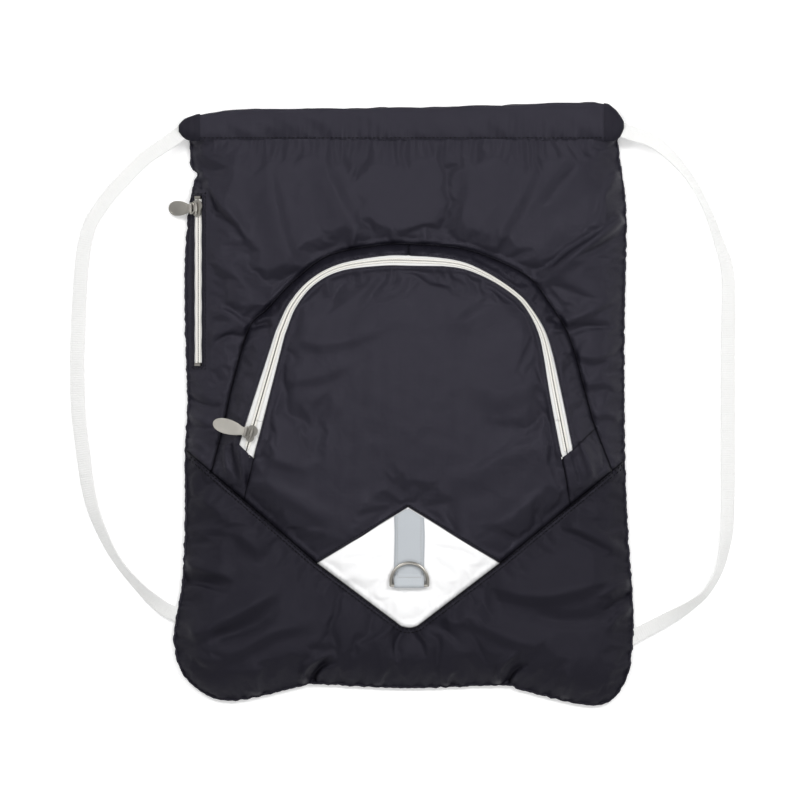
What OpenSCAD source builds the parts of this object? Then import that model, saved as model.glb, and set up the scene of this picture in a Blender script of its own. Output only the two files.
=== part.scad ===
// Drawstring backpack lying flat on its back: +Z is up through the front, +Y points to the mouth, +X to the right.
// The origin is on the outer face of the back panel. All lengths are in millimetres.

/* [Bag] */
// Thickness of the bag between its flat back and the top of its front panel
bag_t = 15; // [14:0.5:18]
// Vertical thickness of one layer of bag fabric
cloth_t = 1; // [0.6:0.1:1.2]
// Share of the bag's outline that is left at the top of its sloping sides
crown = 0.85; // [0.8:0.01:0.9]
// Height of the front pocket's zip above the floor
pocket_t = 28; // [26:0.5:32]
// Fall of the pocket face towards its V seam, as a slope
v_slope = 0.42; // [0.35:0.01:0.5]

/* [Hem and straps] */
// Width of the strap webbing
web_w = 11; // [8:0.5:11]
// Thickness of the strap webbing
web_t = 1.4; // [1:0.1:1.5]
// Depth of the hem sleeve from its stitch line to the mouth
hem_d = 23.6; // [20:0.2:24]
// Length of the stiff end of each hem sleeve
channel_end_l = 15; // [10:1:20]

/* [Zips] */
// Width of one zip tape
tape_w = 6; // [5.4:0.1:6.5]
// Thickness of a zip tape
tape_t = 0.7; // [0.5:0.1:0.7]
// Height of the coil above the tape's underside
coil_top = 2; // [1.8:0.1:2]
// Length of the pull tab on the front pocket
pocket_tab_l = 26; // [18:1:30]
// Length of the pull tab on the side pocket
side_tab_l = 18; // [14:1:19]
// Width of both pull tabs
tab_w = 11; // [9:0.5:12]

/* [Ring] */
// Outer width of the D-ring
ring_w = 30; // [28:1:34]
// Diameter of the D-ring's wire
ring_wire = 2.5; // [2:0.1:3]
// Width of the reflective strip that holds the ring
strip_w = 22.5; // [18:0.5:24]

/* [Hidden] */
gap = 0.1;          // clearance between pieces that lie against each other
far = 600;          // longer than the whole bag
eps = 0.5;          // how far a cutter passes the face that it cuts
mouth_y = 198;      // stitch line between the bag and its hem
seam_z = 2.2;       // underside of the front panel at the side and bottom seams
nylon = [0.22, 0.21, 0.25];
white = [0.93, 0.93, 0.92];
nickel = [0.78, 0.76, 0.72];
reflective = [0.74, 0.75, 0.77];

// ---- curves ----
function catmull(a, b, c, d, t) =
    0.5 * (2 * b + (c - a) * t + (2 * a - 5 * b + 4 * c - d) * t * t + (3 * b - a - 3 * c + d) * t * t * t);
function smooth(p, n) = [for (i = [0:len(p) - 2], k = [0:n - 1])
    catmull(p[max(i - 1, 0)], p[i], p[i + 1], p[min(i + 2, len(p) - 1)], k / n), p[len(p) - 1]];
function unit(v) = v / norm(v);
function side_of(v) = [-v[1], v[0]];
function along(p, i) = unit(p[min(i + 1, len(p) - 1)] - p[max(i - 1, 0)]);
function flat(p) = [p[0], p[1]];
function shifted(p, d) = [for (i = [0:len(p) - 1]) flat(p[i]) + d * side_of(flat(along(p, i)))];
function reversed(p) = [for (i = [len(p) - 1:-1:0]) p[i]];
function band(p, near, away) = concat(shifted(p, near), reversed(shifted(p, away)));

// ---- the bag's outline, from the left end of the mouth round the bottom to the right end ----
outline = smooth([[-161.5, mouth_y], [-158, 168], [-164.5, 110], [-163, 10], [-165.5, -90], [-172.5, -172],
    [-163.5, -207], [-134, -222.5], [-75, -211], [0, -213], [80, -213], [142, -226], [163, -210],
    [169.5, -160], [164, -45], [163.5, 70], [164, 139], [157, mouth_y]], 4);
// The outline about the middle of the mouth, shrunk by sx and sy, with its open end carried past the mouth
function about_mouth(sx, sy, past) = [for (i = [0:len(outline) - 1])
    [outline[i][0] * sx, (outline[i][1] - mouth_y) * sy + (i == 0 || i == len(outline) - 1 ? past : 0)]];

// ---- the V seam across the front, and the diamond in its middle ----
v_left = [-163, -37];
v_right = [164, -43];
diamond_left = [-67, -120];
diamond_right = [70.5, -120];
diamond_top = [1.5, -78];
diamond_bottom = [1.5, -169.5];
face_foot_left = [-121.5, -71.5];
face_foot_right = [122.5, -76];
v_seam_z = bag_t + cloth_t + 0.4;
face_t = 1.2;
gentle_y = -30;     // where the pocket face starts to fall towards its bottom
gentle_slope = 0.075;

// ---- the front pocket: its zip line and the seam of its gusset, matched point for point ----
zip_line = concat([[-119, -33]], smooth([[-94.2, 52.5], [-85, 73], [-70.5, 90], [-50, 101], [-20, 106], [2, 106.4],
    [37, 104], [60, 95.5], [81.4, 81.5], [92, 70], [101, 54], [106, 37], [111.5, 9], [120.5, -36]], 3));
gusset_line = concat([[-139, -30]], smooth([[-118, 55.5], [-103.5, 71], [-84, 91.5], [-58, 110.5], [-22, 118],
    [2, 119], [40, 116], [68, 107], [93, 93.5], [106, 77], [119, 57], [126.5, 38], [134.5, 8], [148, -27]], 3));
gusset_seam_i = 16; // the matched point at the gusset's centre seam
leg = unit(zip_line[1] - zip_line[0]);
leg_angle = atan2(leg[1], leg[0]) - 90;
slider_at = zip_line[0] + 10.5 * leg;
fold_y = -12.1;     // line that the pocket face folds down about
fold_gap = 2.5;     // the inner zip starts this far above the fold
opening_half = 5;   // half the width between the pocket fabric's two edges under the zip
coil_in = 0.55;     // half the slot that the slider's post runs in
coil_out = 2.2;

// ---- the side pocket's zip, on the sloping left edge of the front ----
side_zip_at = [-155.5, 91.5, 7.3];
side_zip_l = 123;
side_tilt = 27.5;
side_slider_y = 146;

// ---- zip slider and pull ----
plate_t = 1;
bridge_r = 0.8;
bridge_z = coil_top + gap + plate_t + 1.7;
pin_gap = 0.05;
link_l = 4.5;
link_r = 0.6;
arm_in = 3.35;
neck_half = 3.2;
pocket_pull_tilt = 15;

// ---- hem ----
hem_y = mouth_y + 1.4;
hem_t = 3.2;
hem_mid_y = hem_y + hem_d / 2;
front_hem_z = bag_t - hem_t;
back_hem_z = 1;
hem_left = -166;
hem_right = 160;
hem_ends = [[hem_left - 4, 1], [hem_right + 3, -1]];
end_wall = 0.8;

// ---- straps, as points with their heights, from the hem to the lower corner ----
left_path = smooth([[-176, 200, 12.5], [-199.5, 180, 6], [-227.5, 149, 2], [-241, 119, 1.2], [-246, 53, 1.2],
    [-246, 0, 1.2], [-242, -40, 1.2], [-226.5, -100, 1.2], [-198, -140, 1.2], [-177, -156, 1.8]], 4);
right_path = smooth([[169, 203, 12.5], [187.5, 195, 8], [209, 174, 3], [224, 149, 1.2], [238, 108, 1.2],
    [241, 37, 1.2], [241, -58, 1.2], [238.5, -110, 1.2], [225, -142, 1.2], [198, -161, 1.2],
    [178, -172, 1.8]], 4);

// ---- ring ----
ring_r = ring_wire / 2;
ring_bar_y = -136.5;
ring_at = [2.5, ring_bar_y, pocket_t + gentle_slope * (ring_bar_y - gentle_y)];
ring_tilt = atan(gentle_slope);
loop_wall = 0.8;
ring_z = gap + loop_wall + pin_gap + ring_r;
ring_side = 3;      // length of the straight part beside the bar

// ---- shared shapes ----

// A solid strip through four-cornered sections
module strip(sections) {
    n = len(sections);
    walls = [for (i = [0:n - 2], k = [0:3], half = [0, 1])
        let (a = 4 * i + k, b = 4 * i + (k + 1) % 4)
            half == 0 ? [a, b, b + 4] : [a, b + 4, a + 4]];
    polyhedron(points = [for (s = sections) each s],
        faces = concat([[3, 2, 1, 0]], walls, [[4 * n - 4, 4 * n - 3, 4 * n - 2, 4 * n - 1]]), convexity = 6);
}

// Everything below a plane that passes z at a point and rises by slope towards the angle
module under_plane(at, z, angle, slope) {
    translate([at[0], at[1], z])
        rotate([0, 0, angle])
            rotate([0, -atan(slope), 0])
                translate([-far, -far, -far])
                    cube([2 * far, 2 * far, far]);
}

// The solid under the bag's domed front, lowered by drop
module dome(drop) {
    translate([0, mouth_y, seam_z - drop])
        linear_extrude(height = bag_t - seam_z, scale = crown)
            polygon(about_mouth(1, 1, drop > 0 ? eps : 0));
}

module front_shell() {
    difference() {
        dome(0);
        dome(cloth_t);
    }
}

// Everything above the V seam, moved up by d
module above_v(d) {
    translate([0, d, -far / 2])
        linear_extrude(height = far)
            polygon([v_left + [-far, far * 83 / 96], v_left, diamond_left, diamond_bottom, diamond_right, v_right,
                v_right + [far, far * 77 / 93]]);
}

// The solid under the pocket face, lowered by drop
module under_face(drop) {
    z = v_seam_z - drop;
    left = diamond_left - v_left;
    right = diamond_right - v_right;
    intersection() {
        under_plane([0, 0], pocket_t - drop, 0, 0);
        under_plane([0, gentle_y], pocket_t - drop, 90, gentle_slope);
        under_plane(v_left, z, atan2(left[1], left[0]) + 90, v_slope);
        under_plane(v_right, z, atan2(right[1], right[0]) - 90, v_slope);
    }
}

module face_sheet() {
    difference() {
        under_face(0);
        under_face(face_t);
    }
}

module prism(p) {
    linear_extrude(height = far)
        polygon(p);
}

face_outline = concat(shifted(zip_line, -opening_half),
    [face_foot_right, diamond_right + [0.3, 0.5], diamond_top + [0, 0.5], diamond_left + [-0.3, 0.5],
        face_foot_left]);

module face_half(above) {
    intersection() {
        face_sheet();
        prism(face_outline);
        translate([-far, above ? fold_y + gap : fold_y - gap - 2 * far, -far])
            cube(2 * far);
    }
}

// The thin band of binding at the bag's edge, between its two panels
module edge_binding() {
    translate([0, mouth_y, cloth_t + gap / 2])
        linear_extrude(height = seam_z - cloth_t - gap)
            difference() {
                polygon(about_mouth(0.999, 0.999, -3));
                polygon(about_mouth(0.965, 0.985, eps));
            }
}

module box_between(low, high) {
    translate(low)
        cube(high - low);
}

module hem_sleeve(z) {
    slot_w = web_w + 0.6;
    slot_t = web_t + 0.2;
    difference() {
        box_between([hem_left, hem_y, z], [hem_right, hem_y + hem_d, z + hem_t]);
        translate([hem_left - eps, hem_mid_y - slot_w / 2, z + (hem_t - slot_t) / 2])
            cube([hem_right - hem_left + 2 * eps, slot_w, slot_t]);
    }
}

module drawcord(z) {
    box_between([hem_left + 1, hem_mid_y - web_w / 2, z + (hem_t - web_t) / 2],
        [hem_right - 1, hem_mid_y + web_w / 2, z + (hem_t + web_t) / 2]);
}

// The stiff turned end of both hem sleeves on one side
module channel_end(start, way) {
    x0 = min(start, start + way * channel_end_l);
    for (z = [back_hem_z, front_hem_z])
        difference() {
            box_between([x0, hem_y - gap - end_wall, z - gap - end_wall],
                [x0 + channel_end_l, hem_y + hem_d + gap + end_wall, z + hem_t + gap + end_wall]);
            box_between([x0 - eps, hem_y - gap, z - gap],
                [x0 + channel_end_l + eps, hem_y + hem_d + gap, z + hem_t + gap]);
        }
}

module webbing(path) {
    half = web_t / 2;
    left_edge = shifted(path, -web_w / 2);
    right_edge = shifted(path, web_w / 2);
    strip([for (i = [0:len(path) - 1])
        let (z = path[i][2], a = left_edge[i], b = right_edge[i])
            [[a[0], a[1], z - half], [b[0], b[1], z - half], [b[0], b[1], z + half], [a[0], a[1], z + half]]]);
}

// One side of the pocket's gusset, between two matched points
module gusset(first, last) {
    wall = cloth_t;
    foot = shifted(gusset_line, -wall);
    top_in = shifted(zip_line, opening_half);
    top_out = shifted(zip_line, opening_half + wall);
    low = bag_t + gap;
    high = pocket_t - gap;
    strip([for (i = [first:last])
        [[foot[i][0], foot[i][1], low], [gusset_line[i][0], gusset_line[i][1], low],
            [top_out[i][0], top_out[i][1], high], [top_in[i][0], top_in[i][1], high]]]);
}

// The lower end of the gusset: it slopes from the zip's end to the side and to the V seam
module pocket_corner(corners, edge_at, edge_angle) {
    edge_slope = 0.9;
    intersection() {
        prism(corners);
        difference() {
            under_corner(0, edge_at, edge_angle, edge_slope);
            under_corner(face_t, edge_at, edge_angle, edge_slope);
        }
    }
}

module under_corner(drop, edge_at, edge_angle, edge_slope) {
    intersection() {
        under_face(drop);
        under_plane(edge_at, bag_t + gap + face_t - drop, edge_angle, edge_slope);
    }
}

// ---- zips: origin under the tapes at the slider's middle, +y along the zip, pull towards -x ----

module slider_outline() {
    translate([0, 1.9])
        circle(r = 4.4, $fn = 40);
    translate([0, -3.2])
        circle(r = 3.2, $fn = 40);
}

module zip_slider() {
    bridge_y = 3.6;
    color(nickel) {
        for (z = [-gap - plate_t, coil_top + gap])
            translate([0, 0, z])
                linear_extrude(height = plate_t)
                    slider_outline();
        translate([-0.4, 2.4, -gap - plate_t])
            cube([0.8, 3, coil_top + 2 * gap + 2 * plate_t]);
        for (y = [-bridge_y, bridge_y])
            translate([-0.9, y - 0.7, coil_top + gap])
                cube([1.8, 1.4, bridge_z - coil_top - gap]);
        translate([0, -bridge_y - 0.9, bridge_z])
            rotate([-90, 0, 0])
                cylinder(r = bridge_r, h = 2 * bridge_y + 1.8, $fn = 32);
    }
}

// The link is drawn about the bridge's axis, pointing to -x, with the tab hanging on its outer bar
module zip_link() {
    eye_half = 2.3;
    eye_r = bridge_r + pin_gap + 0.6;
    arm_t = 1;
    color(nickel)
        difference() {
            union() {
                translate([0, -eye_half, 0])
                    rotate([-90, 0, 0])
                        cylinder(r = eye_r, h = 2 * eye_half, $fn = 32);
                for (s = [-1, 1])
                    translate([0, 0, -arm_t / 2])
                        linear_extrude(height = arm_t)
                            polygon([[-0.95, s * 0.9], [-0.95, s * 2.2], [-2.9, s * 4.4], [-4.9, s * 4.4],
                                [-4.9, s * arm_in], [-3.1, s * arm_in]]);
                translate([-link_l, -arm_in - eps, 0])
                    rotate([-90, 0, 0])
                        cylinder(r = link_r, h = 2 * arm_in + 2 * eps, $fn = 32);
            }
            translate([0, -eye_half - eps, 0])
                rotate([-90, 0, 0])
                    cylinder(r = bridge_r + pin_gap, h = 2 * eye_half + 2 * eps, $fn = 32);
        }
}

function tab_outline(l, w) = [for (i = [0:31])
    let (a = 360 * i / 32)
        [-l / 2 * (1 - cos(a)), w / 2 * sin(a) * (1 - 0.16 * cos(a))]];

module zip_tab(l, tilt) {
    tab_t = 1.2;
    rim = 0.3;
    color(nickel)
        translate([-link_l, 0, 0])
            rotate([0, -tilt, 0])
            difference() {
                union() {
                    translate([0, -neck_half, 0])
                        rotate([-90, 0, 0])
                            cylinder(r = 1.25, h = 2 * neck_half, $fn = 32);
                    translate([0, 0, -tab_t / 2])
                        linear_extrude(height = tab_t)
                            difference() {
                                union() {
                                    translate([-l / 4, 0])
                                        square([l / 2, 2 * neck_half], center = true);
                                    polygon(tab_outline(l, tab_w));
                                }
                                translate([0, -far])
                                    square(2 * far);
                            }
                    translate([0, 0, -tab_t / 2 - rim])
                        linear_extrude(height = tab_t + 2 * rim)
                            difference() {
                                polygon([for (p = tab_outline(l - 2, tab_w)) p - [2, 0]]);
                                polygon([for (p = tab_outline(l - 4, tab_w - 2)) p - [3, 0]]);
                            }
                }
                translate([0, -neck_half - eps, 0])
                    rotate([-90, 0, 0])
                        cylinder(r = link_r + pin_gap, h = 2 * neck_half + 2 * eps, $fn = 32);
            }
}

module at_pocket_slider() {
    translate([slider_at[0], slider_at[1], pocket_t])
        rotate([0, 0, leg_angle])
            children();
}

module at_side_zip(y) {
    translate([side_zip_at[0], y, side_zip_at[2]])
        rotate([0, -side_tilt, 0])
            children();
}

module on_bridge() {
    translate([0, 0, bridge_z])
        children();
}

module zip_band(near, away, low, high, y_from, y_to) {
    intersection() {
        translate([0, 0, pocket_t + low])
            linear_extrude(height = high - low)
                polygon(band(zip_line, near, away));
        box_between([-far, y_from, 0], [far, y_to, far]);
    }
}

module side_band(near, away, low, high) {
    at_side_zip(side_zip_at[1])
        box_between([near, -side_zip_l / 2, low], [away, side_zip_l / 2, high]);
}

module at_ring() {
    translate(ring_at)
        rotate([ring_tilt, 0, 0])
            children();
}

// ---- the pieces ----

module back_panel() {
    color(nylon)
        linear_extrude(height = cloth_t)
            polygon(outline);
}

module front_upper_panel() {
    color(nylon)
        difference() {
            intersection() {
                front_shell();
                above_v(gap);
            }
            side_band(-opening_half - gap, opening_half + gap, -8, 8);
        }
}

module front_lower_panel() {
    color(nylon)
        difference() {
            front_shell();
            above_v(-gap);
        }
}

module front_hem() {
    color(nylon)
        hem_sleeve(front_hem_z);
}

module back_hem() {
    color(nylon)
        hem_sleeve(back_hem_z);
}

bottom_y = -200;
left_anchor_box = [[-172.8, -165, 1.1], [-160, -153, 2.1]];
right_anchor_box = [[160, -182, 1.1], [172.8, -170, 2.1]];

module side_binding(low_x, high_x, anchor) {
    color(nylon)
        difference() {
            intersection() {
                edge_binding();
                box_between([low_x, bottom_y + gap, 0], [high_x, far, far]);
            }
            box_between([anchor[0][0], anchor[0][1] - gap, 0], [anchor[1][0], anchor[1][1] + gap, far]);
        }
}

module left_side_binding() {
    side_binding(-far, 0, left_anchor_box);
}

module right_side_binding() {
    side_binding(0, far, right_anchor_box);
}

module bottom_binding() {
    color(nylon)
        intersection() {
            edge_binding();
            box_between([-far, -far, 0], [far, bottom_y - gap, far]);
        }
}

module left_strap_anchor() {
    color(white)
        box_between(left_anchor_box[0], left_anchor_box[1]);
}

module right_strap_anchor() {
    color(white)
        box_between(right_anchor_box[0], right_anchor_box[1]);
}

module front_drawcord_run() {
    color(white)
        drawcord(front_hem_z);
}

module back_drawcord_run() {
    color(white)
        drawcord(back_hem_z);
}

module pocket_gusset_left() {
    color(nylon)
        gusset(0, gusset_seam_i);
}

module pocket_gusset_right() {
    color(nylon)
        translate([gap, 0, 0])
            gusset(gusset_seam_i, len(zip_line) - 1);
}

module pocket_corner_left() {
    color(nylon)
        pocket_corner([[-116, -41.5], [-124.4, -32], [-138.8, -30.8], [-147, -50], [-121.9, -71.7]], [-143, -31], 0);
}

module pocket_corner_right() {
    color(nylon)
        pocket_corner([[117, -41.5], [126.5, -36.4], [147.8, -28], [157, -47.5], [122.8, -75.5]], [151, -28], 180);
}

module pocket_face_lower() {
    color(nylon)
        face_half(false);
}

module pocket_face_flap() {
    color(nylon)
        face_half(true);
}

module diamond_patch() {
    color(white)
        intersection() {
            face_sheet();
            prism([diamond_left, diamond_top, diamond_right, diamond_bottom]);
        }
}

module reflective_strip() {
    strip_l = 56;
    color(reflective)
        at_ring()
            difference() {
                union() {
                    translate([-strip_w / 2, 0, gap])
                        cube([strip_w, strip_l, loop_wall]);
                    translate([-strip_w / 2, 0, ring_z])
                        rotate([0, 90, 0])
                            cylinder(r = ring_r + pin_gap + loop_wall, h = strip_w, $fn = 40);
                }
                translate([-strip_w / 2 - eps, 0, ring_z])
                    rotate([0, 90, 0])
                        cylinder(r = ring_r + pin_gap, h = strip_w + 2 * eps, $fn = 40);
            }
}

module d_ring() {
    mid_r = ring_w / 2 - ring_r;
    color(nickel)
        at_ring()
            translate([0, 0, ring_z]) {
                translate([-mid_r, 0, 0])
                    rotate([0, 90, 0])
                        cylinder(r = ring_r, h = 2 * mid_r, $fn = 32);
                for (s = [-1, 1]) {
                    translate([s * mid_r, 0, 0])
                        sphere(r = ring_r, $fn = 32);
                    translate([s * mid_r, 0, 0])
                        rotate([-90, 0, 0])
                            cylinder(r = ring_r, h = ring_side, $fn = 32);
                }
                translate([0, ring_side, 0])
                    rotate_extrude(angle = 180, $fn = 64)
                        translate([mid_r, 0])
                            circle(r = ring_r, $fn = 32);
            }
}

module pocket_zip_outer_tape() {
    color(white)
        zip_band(coil_in, tape_w, 0, tape_t, -far, far);
}

module pocket_zip_outer_coil() {
    color(white)
        zip_band(coil_in, coil_out, tape_t + gap / 2, coil_top, -far, far);
}

module pocket_zip_inner_tape() {
    color(white)
        zip_band(-tape_w, -coil_in, 0, tape_t, fold_y + fold_gap, far);
}

module pocket_zip_inner_coil() {
    color(white)
        zip_band(-coil_out, -coil_in, tape_t + gap / 2, coil_top, fold_y + fold_gap, far);
}

module pocket_zip_tape_ends() {
    color(white)
        zip_band(-tape_w, -coil_in, 0, tape_t, -far, fold_y - gap);
}

module pocket_zip_coil_ends() {
    color(white)
        zip_band(-coil_out, -coil_in, tape_t + gap / 2, coil_top, -far, fold_y - gap);
}

module side_zip_left_tape() {
    color(white)
        side_band(-tape_w, -coil_in, 0, tape_t);
}

module side_zip_right_tape() {
    color(white)
        side_band(coil_in, tape_w, 0, tape_t);
}

module side_zip_left_coil() {
    color(white)
        side_band(-coil_out, -coil_in, tape_t + gap / 2, coil_top);
}

module side_zip_right_coil() {
    color(white)
        side_band(coil_in, coil_out, tape_t + gap / 2, coil_top);
}

module side_zip_stops() {
    color(nickel)
        at_side_zip(side_zip_at[1])
            for (end = [-1, 1])
                box_between([-2.4, end * (side_zip_l / 2 + 1.2) - 1, tape_t + gap / 2],
                    [2.4, end * (side_zip_l / 2 + 1.2) + 1, coil_top + 0.3]);
}

module side_zip_welt() {
    inner = 3.6;
    outer = 7.5;
    end = side_zip_l / 2 + 2.6;
    low = tape_t + gap / 2;
    color(nylon)
        at_side_zip(side_zip_at[1])
            difference() {
                box_between([-outer, -end - 4, low], [outer, end + 4, low + 0.5]);
                box_between([-inner, -end, low - eps], [inner, end, low + 2]);
            }
}

module side_pocket_bag() {
    wall = 0.5;
    low = [-132, 30, 11.8];
    high = [-48, 154, 13.8];
    color(nylon)
        difference() {
            box_between(low, high);
            box_between([low[0] - eps, low[1] + wall, low[2] + wall], high - [wall, wall, wall]);
        }
}

module left_channel_end() {
    color(nylon)
        channel_end(hem_ends[0][0], hem_ends[0][1]);
}

module right_channel_end() {
    color(nylon)
        channel_end(hem_ends[1][0], hem_ends[1][1]);
}

module left_strap() {
    color(white)
        webbing(left_path);
}

module right_strap() {
    color(white)
        webbing(right_path);
}

module pocket_zip_slider() {
    at_pocket_slider()
        zip_slider();
}

module pocket_zip_link() {
    at_pocket_slider()
        on_bridge()
            zip_link();
}

module pocket_zip_pull() {
    at_pocket_slider()
        on_bridge()
            zip_tab(pocket_tab_l, pocket_pull_tilt);
}

module side_zip_slider() {
    at_side_zip(side_slider_y)
        zip_slider();
}

module side_zip_link() {
    at_side_zip(side_slider_y)
        on_bridge()
            zip_link();
}

module side_zip_pull() {
    at_side_zip(side_slider_y)
        on_bridge()
            zip_tab(side_tab_l, 0);
}

back_panel();
front_upper_panel();
front_lower_panel();
front_hem();
back_hem();
left_side_binding();
right_side_binding();
bottom_binding();
left_strap_anchor();
right_strap_anchor();
front_drawcord_run();
back_drawcord_run();
pocket_gusset_left();
pocket_gusset_right();
pocket_corner_left();
pocket_corner_right();
pocket_face_lower();
pocket_face_flap();
diamond_patch();
reflective_strip();
pocket_zip_outer_tape();
pocket_zip_outer_coil();
pocket_zip_tape_ends();
pocket_zip_coil_ends();
pocket_zip_inner_tape();
pocket_zip_inner_coil();
side_zip_left_tape();
side_zip_right_tape();
side_zip_left_coil();
side_zip_right_coil();
side_zip_stops();
side_zip_welt();
side_pocket_bag();
left_channel_end();
right_channel_end();
left_strap();
right_strap();
pocket_zip_slider();
pocket_zip_link();
pocket_zip_pull();
side_zip_slider();
side_zip_link();
side_zip_pull();
d_ring();
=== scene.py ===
"""Drawstring backpack: its fabric, zips, straps, stitches and finishes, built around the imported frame.

Shapes are worked out in millimetres, in the frame's own axes, and turned into metres when a mesh is made.
"""

import math

import bpy
import numpy as np
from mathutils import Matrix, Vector
from mathutils.bvhtree import BVHTree
from mathutils.geometry import delaunay_2d_cdt


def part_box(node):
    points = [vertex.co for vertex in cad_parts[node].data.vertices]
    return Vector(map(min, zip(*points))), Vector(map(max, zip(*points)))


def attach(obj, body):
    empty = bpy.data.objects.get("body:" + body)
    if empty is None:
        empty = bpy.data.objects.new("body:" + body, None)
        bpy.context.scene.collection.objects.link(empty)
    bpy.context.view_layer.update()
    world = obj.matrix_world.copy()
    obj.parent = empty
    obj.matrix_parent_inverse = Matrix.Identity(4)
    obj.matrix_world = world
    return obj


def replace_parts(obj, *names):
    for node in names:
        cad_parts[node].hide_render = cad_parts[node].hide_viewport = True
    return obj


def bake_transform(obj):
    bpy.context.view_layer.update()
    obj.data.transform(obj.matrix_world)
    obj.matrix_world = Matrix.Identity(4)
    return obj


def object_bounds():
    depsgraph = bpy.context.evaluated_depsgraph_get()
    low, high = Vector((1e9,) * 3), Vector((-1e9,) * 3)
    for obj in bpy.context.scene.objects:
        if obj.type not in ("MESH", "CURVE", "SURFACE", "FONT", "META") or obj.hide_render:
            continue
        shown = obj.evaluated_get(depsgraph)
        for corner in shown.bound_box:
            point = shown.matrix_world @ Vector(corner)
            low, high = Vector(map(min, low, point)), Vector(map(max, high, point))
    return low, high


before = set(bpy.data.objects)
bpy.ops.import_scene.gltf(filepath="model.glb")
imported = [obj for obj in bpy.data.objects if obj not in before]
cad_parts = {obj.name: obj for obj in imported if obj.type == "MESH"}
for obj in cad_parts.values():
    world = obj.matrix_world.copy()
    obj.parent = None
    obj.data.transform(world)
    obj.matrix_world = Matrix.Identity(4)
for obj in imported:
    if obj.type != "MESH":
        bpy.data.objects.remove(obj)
cad_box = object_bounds()

MM = 0.001
GRID = 1.8  # spacing of the fabric's mesh
FABRIC_T = 0.6  # thickness of one layer of the bag's fabric
SEAM_Z = 2.4  # height of the seam at the bag's edge
BAG_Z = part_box("front_upper_panel")[1].z / MM
POCKET_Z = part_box("pocket_zip_outer_tape")[0].z / MM
MOUTH_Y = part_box("back_panel")[1].y / MM
STRIP_X = 2.5  # middle of the diamond's reflective strip
TURN = 2 * math.pi  # one full turn
ROUND = np.linspace(0, TURN, 10, endpoint=False)  # angles about the middle of a small roll


# ---- curves and distances ----
def arc_length(line):
    """How far along a polyline each of its points is."""
    return np.concatenate([[0], np.cumsum(np.linalg.norm(np.diff(line, axis=0), axis=1))])


def resampled(points, step):
    """The same polyline with points about step apart."""
    p = np.array(points, float)
    length = arc_length(p)
    count = max(2, int(round(length[-1] / step)) + 1)
    at = np.linspace(0, length[-1], count)
    return np.stack([np.interp(at, length, p[:, k]) for k in range(p.shape[1])], axis=1)


def path(points, step):
    """Straight legs between the points, which stay as corners, sampled about step apart."""
    legs = [resampled(pair, step)[:-1] for pair in zip(points[:-1], points[1:])]
    return np.vstack(legs + [np.array(points[-1], float)[None]])


def curve(points, step):
    """A smooth curve through the points, sampled about step apart."""
    p = np.array(points, float)
    p = np.vstack([2 * p[0] - p[1], p, 2 * p[-1] - p[-2]])
    t = np.linspace(0, 1, 16, endpoint=False)[:, None]
    parts = []
    for a, b, c, d in zip(p[:-3], p[1:-2], p[2:-1], p[3:]):
        cubic = 3 * b - a - 3 * c + d
        parts.append(0.5 * (2 * b + (c - a) * t + (2 * a - 5 * b + 4 * c - d) * t * t + cubic * t**3))
    return resampled(np.vstack(parts + [p[-2][None]]), step)


def tangents(line):
    """Unit direction along a polyline at each of its points."""
    d = np.gradient(line, axis=0)
    return d / np.linalg.norm(d, axis=1)[:, None]


def left_normals(line):
    """Unit vector to the left of a flat polyline at each of its points."""
    t = tangents(line[:, :2])
    return np.stack([-t[:, 1], t[:, 0]], axis=1)


def shifted(line, distance):
    """A flat polyline moved to its left."""
    return line[:, :2] + distance * left_normals(line)


def smoothed(values, reach, rounds=1):
    """A row of values, each averaged with those up to reach places away."""
    kernel = np.ones(2 * reach + 1) / (2 * reach + 1)
    for _ in range(rounds):
        values = np.convolve(np.pad(values, reach, mode="edge"), kernel, mode="valid")
    return values


def nearest_on(points, line):
    """For each point: its distance from a flat polyline, how far along it that is (0 to 1), and the side
    it is on (+1 left)."""
    a, b = line[:-1, :2], line[1:, :2]
    d = b - a
    size = np.maximum((d**2).sum(1), 1e-9)
    length = arc_length(line[:, :2])
    best = np.full(len(points), 1e9)
    place = np.zeros(len(points))
    side = np.ones(len(points))
    for k in range(len(a)):
        rel = points - a[k]
        t = np.clip((rel @ d[k]) / size[k], 0, 1)
        off = rel - t[:, None] * d[k]
        dist = np.hypot(off[:, 0], off[:, 1])
        near = dist < best
        best[near] = dist[near]
        place[near] = (length[k] + t[near] * math.sqrt(size[k])) / length[-1]
        side[near] = np.sign(d[k, 0] * rel[near, 1] - d[k, 1] * rel[near, 0] + 1e-12)
    return best, place, side


def step01(x, low, high):
    """0 below low, 1 above high, smooth between."""
    t = np.clip((np.asarray(x, float) - low) / (high - low), 0, 1)
    return t * t * (3 - 2 * t)


def ridge(d, middle, half_width):
    """1 where the distance d is at middle, and dying away on both sides of it."""
    return np.exp(-(((d - middle) / half_width) ** 2))


def waves(x, y, seed, count, shortest, longest):
    """A smooth pattern of low waves in random directions, from about -1 to 1."""
    draw = np.random.default_rng(seed)
    total = np.zeros_like(x)
    for _ in range(count):
        length = draw.uniform(shortest, longest)
        angle = draw.uniform(0, math.pi)
        phase = draw.uniform(0, TURN)
        total += np.sin(TURN * (x * math.cos(angle) + y * math.sin(angle)) / length + phase)
    return total / math.sqrt(count)


# ---- materials ----
def new_material(name):
    """A material with its node tree and its main shader."""
    m = bpy.data.materials.new(name)
    m.use_nodes = True
    return m, m.node_tree, m.node_tree.nodes["Principled BSDF"]


def set_inputs(shader, values):
    for name, value in values.items():
        shader.inputs[name].default_value = value


def node(tree, kind, **values):
    """A new node. Each value sets the input of that name, or else the property."""
    n = tree.nodes.new(kind)
    for key, value in values.items():
        if key in n.inputs:
            n.inputs[key].default_value = value
        else:
            setattr(n, key, value)
    return n


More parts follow.
